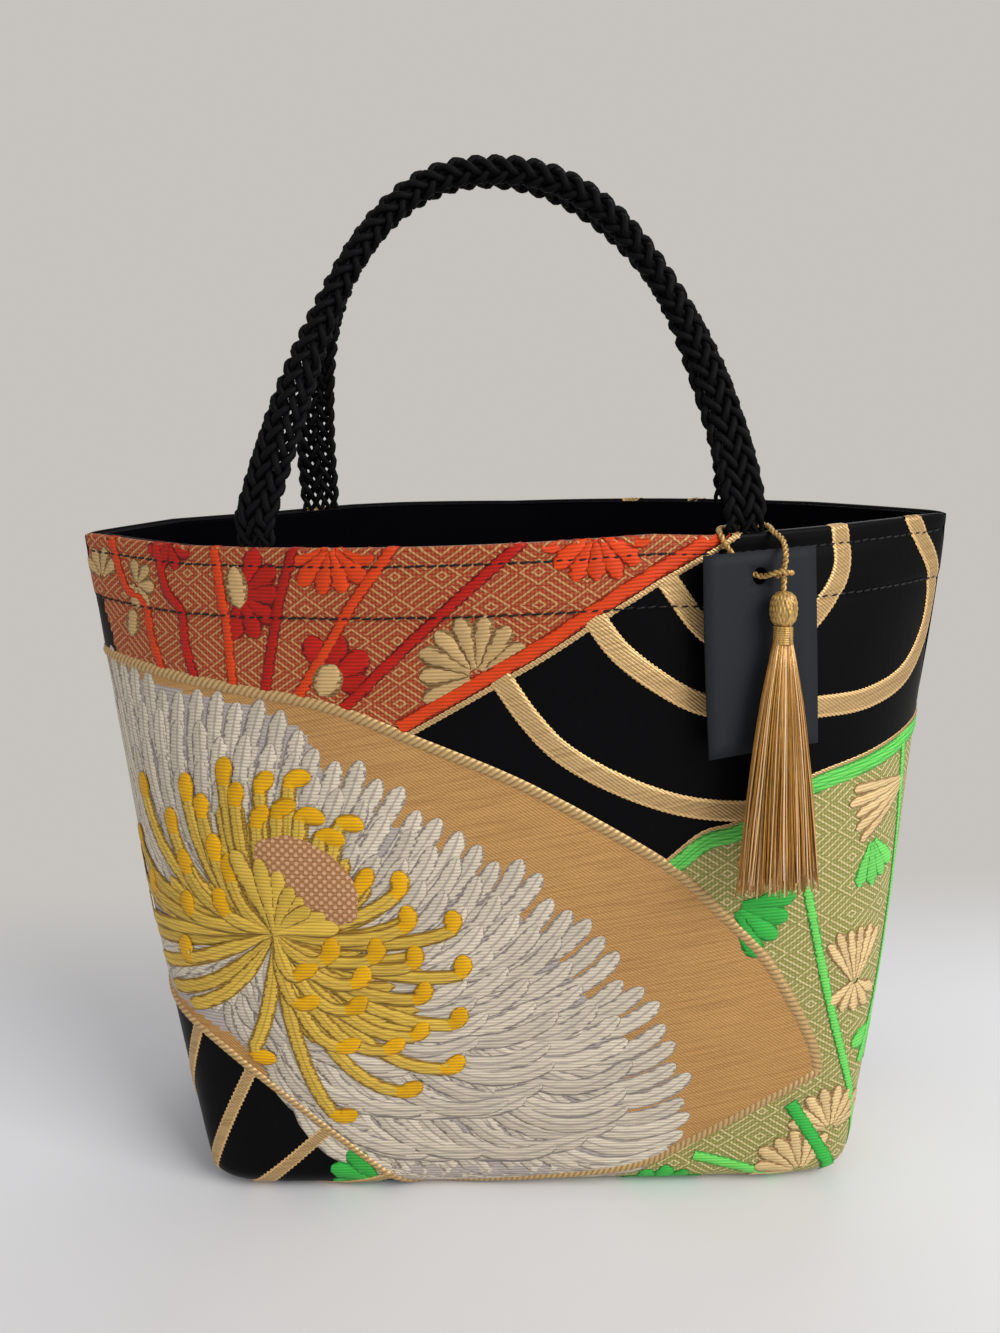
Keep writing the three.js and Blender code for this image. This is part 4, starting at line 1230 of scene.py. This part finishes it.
def cord_route():
    """The cord from its hitch, through the tag, over the rim, behind the handle leg and down to the hitch."""
    wrap = 2.15
    leg = HANDLE_OFFSET + HANDLE_SPREAD / 2
    left, right = ((leg + side * STRAND_GAP - HANG_X) / math.cos(wall_turn(HANG_X)) for side in (-1, 1))
    points = []
    for i in range(10):
        turn = math.radians(330 - 300 * i / 9)
        points.append(hang(HITCH_ASIDE - wrap * math.cos(turn), HANG_OUT + wrap * math.sin(turn),
                           -HITCH_DROP + 0.4 - 2.3 * turn / (2 * math.pi)))
    points += [
        hang(0.52 * (HITCH_ASIDE - wrap), lerp(TAG_FRONT, HANG_OUT, 0.8), -HITCH_DROP - 0.8),
        hang(0.8, TAG_FRONT + 0.9, -HOLE_DROP),
        hang(0, (TAG_FRONT + TAG_BACK) / 2, -HOLE_DROP),
        hang(-0.8, TAG_BACK - 0.72, -HOLE_DROP + 0.3),
        hang(0.34 * left, STRAND_BEHIND, -0.8 * HOLE_DROP),
        hang(0.7 * left, STRAND_BEHIND, -0.42 * HOLE_DROP),
        hang(0.95 * left, STRAND_BEHIND, -0.12 * HOLE_DROP),
    ]
    over, behind = size("height") + 1.6, 5.95
    for side in (-1, 1):
        x = leg + side * STRAND_GAP
        rise = [front_at(x, over, -0.4), front_at(x, over + 0.4, LEG_INSET),
                front_at(x - 1.4 * side, over + 0.6, behind)]
        points += rise if side < 0 else [front_at(leg, over + 0.6, behind), *rise[::-1]]
    points += [
        hang(right, 0.62 * HANG_OUT, -0.6),
        hang(lerp(right, HITCH_ASIDE, 0.7), HANG_OUT, -0.5 * HITCH_DROP),
        hang(HITCH_ASIDE, HANG_OUT, -HITCH_DROP + 0.9),
        hang(HITCH_ASIDE, HANG_OUT, -LOOP_END),
    ]
    return through(points, 0.3)


def twisted_cord(bm, path, lay=3.6):
    """Two strands twisted round each other along a path."""
    one, two = frames(path)
    turn = (2 * math.pi * run_length(path) / lay)[:, None]
    strand = size("cord") / 2
    for start in (0, math.pi):
        tube(bm, path + 0.46 * strand * (one * np.cos(turn + start) + two * np.sin(turn + start)),
             0.56 * strand, 8)
    close_tubes(bm, 8)


def make_cord():
    """The tassel's cord: its loop round the handle leg, and the short drop to the tassel's head."""
    route = cord_route()
    bm = bmesh.new()
    twisted_cord(bm, route)
    loop = from_bmesh("tassel_cord", bm, finish("gold_rayon_thread"))
    dress(loop, "bag", "gold_thread", "tassel_cord_loop")
    size("cord") * MM
    top = hang(HITCH_ASIDE, HANG_OUT, -LOOP_END + 0.2)
    ends = np.array([top, top - (0, 0, DROP_END - LOOP_END + 0.8)])
    bm = bmesh.new()
    twisted_cord(bm, resample(ends, 14))
    drop = from_bmesh("tassel_cord_end", bm, finish("gold_rayon_thread"))
    dress(drop, "tassel_cord", "gold_thread", "tassel_cord_drop")


def make_head(matrix):
    """The knob: thread wound over a barrel, in upright ridges that cross in a fine net."""
    radius = HEAD_DIAMETER / 2
    shape = through([(0.2, 0), (0.55 * radius, -0.5), (0.9 * radius, -2.4), (radius, -5.6),
                     (0.93 * radius, -8.0), (0.72 * radius, -9.7), (0.5 * radius, -10.4)], 0.45)
    bm = bmesh.new()
    verts = [bm.verts.new((x, 0, z)) for x, z in shape]
    edges = [bm.edges.new(pair) for pair in zip(verts, verts[1:])]
    bmesh.ops.spin(bm, geom=verts + edges, axis=(0, 0, 1), cent=(0, 0, 0), angle=2 * math.pi, steps=84,
                   use_merge=True)
    bmesh.ops.remove_doubles(bm, verts=bm.verts, dist=1e-3)
    bmesh.ops.holes_fill(bm, edges=[e for e in bm.edges if e.is_boundary])
    bmesh.ops.recalc_face_normals(bm, faces=bm.faces)
    for vert in bm.verts:
        turn = math.atan2(vert.co.y, vert.co.x)
        net = abs(math.sin(10.5 * turn + 0.9 * vert.co.z)) + abs(math.sin(10.5 * turn - 0.9 * vert.co.z))
        vert.co.xy *= 0.9 + 0.09 * net
    bmesh.ops.transform(bm, matrix=matrix, verts=bm.verts)
    dress(from_bmesh("tassel_knob", bm, finish("gold_rayon_thread")), "tassel", "gold_thread", "tassel_head")


def make_binding(matrix):
    """Thread wound round the neck in close turns."""
    t = np.linspace(0, 1, 210)
    turn = 2 * math.pi * BINDING_TURNS * t
    radius = NECK_RADIUS + 0.45
    coil = np.stack([radius * np.cos(turn), radius * np.sin(turn),
                     -HEAD_LENGTH - 0.2 - (NECK_LENGTH - 0.2) * t], axis=1)
    bm = bmesh.new()
    tube(bm, coil, BINDING_RADIUS, 7)
    close_tubes(bm, 7)
    bmesh.ops.transform(bm, matrix=matrix, verts=bm.verts)
    piece = from_bmesh("tassel_binding", bm, finish("gold_rayon_thread"))
    dress(piece, "tassel", "gold_thread", "tassel_neck_binding")


def make_skirt(matrix):
    """Loose threads that leave the neck together, spread as they fall and end unevenly, with a few strays.
    Each thread has its own tone for its material."""
    draw = random.Random(3)
    count = int(bpy.context.scene.tote_sizes.threads)
    bm = bmesh.new()
    shoulder = -HEAD_LENGTH - NECK_LENGTH
    for k in range(count):
        spread = math.sqrt((k + 0.5) / count)
        turn = k * math.pi * (3 - math.sqrt(5))
        stray = 1.16 if k % 47 == 46 else 1.0
        long = SKIRT_LENGTH * draw.uniform(0.93, 1.02)
        phase, sway = draw.uniform(0, 6.3), draw.uniform(0.2, 0.8)
        line = []
        for down in np.linspace(0, 1, 10):
            share = down ** 0.62
            wide = lerp(NECK_RADIUS - 0.3, SKIRT_WIDTH / 2 * stray - 0.4, share) * spread
            deep = lerp(NECK_RADIUS - 0.3, SKIRT_DEPTH / 2 - 0.4, share) * spread
            wave = sway * math.sin(phase + 5 * down) * down
            line.append((wide * math.cos(turn) + wave, deep * math.sin(turn) + 0.4 * wave,
                         shoulder + (NECK_LENGTH if down == 0 else 0) - long * down))
        tube(bm, np.array(line), size("thread") / 2, 5)
    strand = bm.verts.layers.float.new("strand")
    tones = [draw.random() for k in range(count)]
    for i, vert in enumerate(bm.verts):
        vert[strand] = tones[i * count // len(bm.verts)]
    close_tubes(bm, 5)
    bmesh.ops.transform(bm, matrix=matrix, verts=bm.verts)
    piece = from_bmesh("tassel_threads", bm, finish("gold_rayon_strands"))
    dress(piece, "tassel", "gold_thread", "tassel_skirt")


def make_tassel():
    """Cord, knob, binding and skirt, all of gold thread."""
    make_cord()
    matrix = hang_matrix(HITCH_ASIDE, HANG_OUT, -HEAD_TOP, TASSEL_LEAN, TASSEL_TILT)
    make_head(matrix)
    make_binding(matrix)
    make_skirt(matrix)


TAG_WIDTH = 38.0
TAG_HEIGHT = 61.0
TAG_HOLE = 5.2
TAG_HOLE_INSET = 7.5
TAG_CURL = 1.1


def make_tag():
    """Swing tag of stiff card with a punched hole, a little curled."""
    levels = [TAG_HOLE_INSET - TAG_HEIGHT + 49 * i / 12 for i in range(13)] + [0, 4, TAG_HOLE_INSET]
    columns, rows = 8, len(levels) - 1
    bm = bmesh.new()
    for vert in bmesh.ops.create_grid(bm, x_segments=columns, y_segments=rows, size=0.5)["verts"]:
        vert.co = (vert.co.x * TAG_WIDTH, 0, levels[round((vert.co.y + 0.5) * rows)])
    middle = [v for v in bm.verts if v.co.length < 0.1]
    bmesh.ops.delete(bm, geom=middle, context="VERTS")
    rim = [e for e in bm.edges if e.is_boundary and all(abs(v.co.x) < 5 and abs(v.co.z) < 6 for v in e.verts)]
    hole = bmesh.ops.create_circle(bm, segments=32, radius=TAG_HOLE / 2,
                                   matrix=Matrix.Rotation(math.pi / 2, 4, "X"))["verts"]
    edges = list({e for v in hole for e in v.link_edges})
    bmesh.ops.bridge_loops(bm, edges=rim + edges)
    bmesh.ops.recalc_face_normals(bm, faces=bm.faces)
    for vert in bm.verts:
        across = vert.co.x / (TAG_WIDTH / 2)
        down = ((vert.co.z + 22) / 30) ** 2
        vert.co.y -= TAG_CURL * (0.5 * across**2 + 0.7 * down * (0.4 - 0.6 * across) - 0.3)
    bmesh.ops.solidify(bm, geom=bm.faces[:], thickness=TAG_THICKNESS)
    bmesh.ops.recalc_face_normals(bm, faces=bm.faces)
    matrix = hang_matrix(0, TAG_BACK + TAG_THICKNESS / 2, -HOLE_DROP, TAG_LEAN)
    bmesh.ops.transform(bm, matrix=matrix, verts=bm.verts)
    dress(from_bmesh("card_tag", bm, finish("charcoal_card")), "tag", "tag_card", "hang_tag")


# Stage

def make_camera():
    """Camera at the photograph's place and angle."""
    yaw, pitch, roll = (math.radians(a) for a in (CAMERA_YAW, CAMERA_PITCH, CAMERA_ROLL))
    ahead = Vector((math.sin(yaw) * math.cos(pitch), math.cos(yaw) * math.cos(pitch), -math.sin(pitch)))
    level = Vector((math.cos(yaw), -math.sin(yaw), 0))
    upright = level.cross(ahead)
    right = math.cos(roll) * level + math.sin(roll) * upright
    up = -math.sin(roll) * level + math.cos(roll) * upright
    data = bpy.data.cameras.new("photo_camera")
    data.sensor_width = SENSOR_MM
    data.lens = FOCAL_PIXELS * SENSOR_MM / FRAME_HEIGHT
    data.clip_start = 0.01
    camera = bpy.data.objects.new("photo_camera", data)
    bpy.context.scene.collection.objects.link(camera)
    turn = Matrix((right, up, -ahead)).transposed().to_4x4()
    camera.matrix_world = Matrix.Translation(Vector(CAMERA_PLACE) * MM) @ turn
    bpy.context.scene.camera = camera


# Floor: radius and drop below the bag in mm, and where it passes into the backdrop, behind and away, in m
FLOOR_RADIUS = 6000
FLOOR_DROP = 0.6
FADE_BEHIND = (0.05, 0.2)
FADE_AWAY = (0.4, 1.0)


def make_floor():
    """Pale matt floor that passes into the backdrop's colour behind the object, so that no horizon shows."""
    material, add, shader = finish_material("matt_pale_floor", Base_Color=colour("floor"), Roughness=0.85,
                                            Specular_IOR_Level=0.2)
    at = add("TexCoord").outputs["Object"]
    behind = add("MapRange", add("SeparateXYZ", at).outputs[1], *FADE_BEHIND, interpolation_type="SMOOTHSTEP")
    away = add("VectorMath", at, operation="LENGTH")
    far = add("MapRange", away, *FADE_AWAY, interpolation_type="SMOOTHSTEP")
    fade = add("Math", behind, far, operation="MAXIMUM")
    seen = add("Emission", colour("backdrop"), 1.0)
    plug(material.node_tree.nodes["Material Output"], {"Surface": add("MixShader", fade, shader, seen)})
    bm = bmesh.new()
    bmesh.ops.create_circle(bm, cap_ends=True, segments=96, radius=FLOOR_RADIUS)
    bmesh.ops.translate(bm, vec=(0, 0, -FLOOR_DROP), verts=bm.verts)
    from_bmesh("floor", bm, material)


# Lamps: place in metres, power in watts and width in metres
LAMPS = {"window": ((0.95, -0.8, 0.95), 16.0, 0.9), "fill": ((-1.1, -0.8, 0.7), 1.2, 1.2),
         "rear": ((0.3, 1.2, 1.0), 5.0, 1.2)}
LAMP_TARGET = (0, 0, 0.14)
SKY = "#aeafb3"


def make_lights():
    """Soft window light from the upper right, weaker ones from the left and the rear, and an even sky."""
    for name, (place_at, power, width) in LAMPS.items():
        data = bpy.data.lights.new(name, "AREA")
        data.energy = power
        data.size = width
        lamp = bpy.data.objects.new(name, data)
        bpy.context.scene.collection.objects.link(lamp)
        lamp.location = place_at
        lamp.rotation_euler = (Vector(LAMP_TARGET) - Vector(place_at)).to_track_quat("-Z", "Y").to_euler()
    world = bpy.data.worlds.new("pale_studio")
    world.use_nodes = True
    bpy.context.scene.world = world
    add = functools.partial(add_node, world.node_tree)
    rays = add("LightPath").outputs
    mirrored = add("Math", rays["Is Glossy Ray"], rays["Is Transmission Ray"], operation="ADD")
    shown = add("Math", rays["Is Camera Ray"], mirrored, operation="ADD", use_clamp=True)
    sky = add("Mix", shown, colour(SKY), colour("backdrop"), data_type="RGBA")
    plug(world.node_tree.nodes["Background"], {"Color": sky})
    bpy.context.scene.view_settings.view_transform = "Standard"


class TOTE_OT_stage(bpy.types.Operator):
    """Sets up the camera, the floor and the light"""

    bl_idname = "tote.stage"
    bl_label = "Stage"

    def execute(self, context):
        make_camera()
        make_floor()
        make_lights()
        return {"FINISHED"}


class TOTE_OT_tassel(bpy.types.Operator):
    """Hangs the gold tassel on its twisted cord"""

    bl_idname = "tote.tassel"
    bl_label = "Tassel"

    def execute(self, context):
        make_tassel()
        return {"FINISHED"}


class TOTE_OT_tag(bpy.types.Operator):
    """Hangs the card tag on the cord"""

    bl_idname = "tote.tag"
    bl_label = "Swing Tag"

    def execute(self, context):
        make_tag()
        return {"FINISHED"}


class TOTE_OT_panels(bpy.types.Operator):
    """Weaves the front and back brocade panels with their figures"""

    bl_idname = "tote.panels"
    bl_label = "Brocade Panels"

    def execute(self, context):
        weave_front()
        weave_back()
        return {"FINISHED"}


class TOTE_OT_layers(bpy.types.Operator):
    """Puts in the interlinings, the satin linings and the base board's finish"""

    bl_idname = "tote.layers"
    bl_label = "Inner Layers"

    def execute(self, context):
        for side in ("front", "back"):
            make_interlining(side)
            make_lining(side)
        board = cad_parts["base_board"].data
        board.materials.clear()
        board.materials.append(finish("grey_board"))
        return {"FINISHED"}


class TOTE_OT_stitches(bpy.types.Operator):
    """Sews the two rows of hem stitches on each side"""

    bl_idname = "tote.stitches"
    bl_label = "Hem Stitches"

    def execute(self, context):
        for side in ("front", "back"):
            make_stitches(side)
        return {"FINISHED"}


class TOTE_OT_handles(bpy.types.Operator):
    """Plaits the two handles"""

    bl_idname = "tote.handles"
    bl_label = "Braided Handles"

    def execute(self, context):
        for side in ("front", "back"):
            make_handle(side)
        return {"FINISHED"}


STEPS = (TOTE_OT_stage, TOTE_OT_tassel, TOTE_OT_tag, TOTE_OT_panels, TOTE_OT_layers, TOTE_OT_stitches,
         TOTE_OT_handles)


class TOTE_PT_bag(bpy.types.Panel):
    """Lists the sizes, the colours and the building steps"""

    bl_idname = "TOTE_PT_bag"
    bl_label = "Tote Bag"
    bl_space_type = "VIEW_3D"
    bl_region_type = "UI"
    bl_category = "Tote Bag"

    def draw(self, context):
        for settings in (context.scene.tote_sizes, context.scene.tote_colours):
            box = self.layout.box()
            for name in settings.__annotations__:
                box.prop(settings, name)
        for step in STEPS:
            self.layout.operator(step.bl_idname)


CLASSES = (ToteSizes, ToteColours, *STEPS, TOTE_PT_bag)


def register():
    for cls in CLASSES:
        bpy.utils.register_class(cls)
    bpy.types.Scene.tote_sizes = PointerProperty(type=ToteSizes)
    bpy.types.Scene.tote_colours = PointerProperty(type=ToteColours)


def unregister():
    del bpy.types.Scene.tote_colours
    del bpy.types.Scene.tote_sizes
    for cls in reversed(CLASSES):
        bpy.utils.unregister_class(cls)


def main():
    """Builds the whole bag."""
    register()
    for step in STEPS:
        getattr(bpy.ops.tote, step.bl_idname.split(".")[1])()


if __name__ == "__main__":
    main()
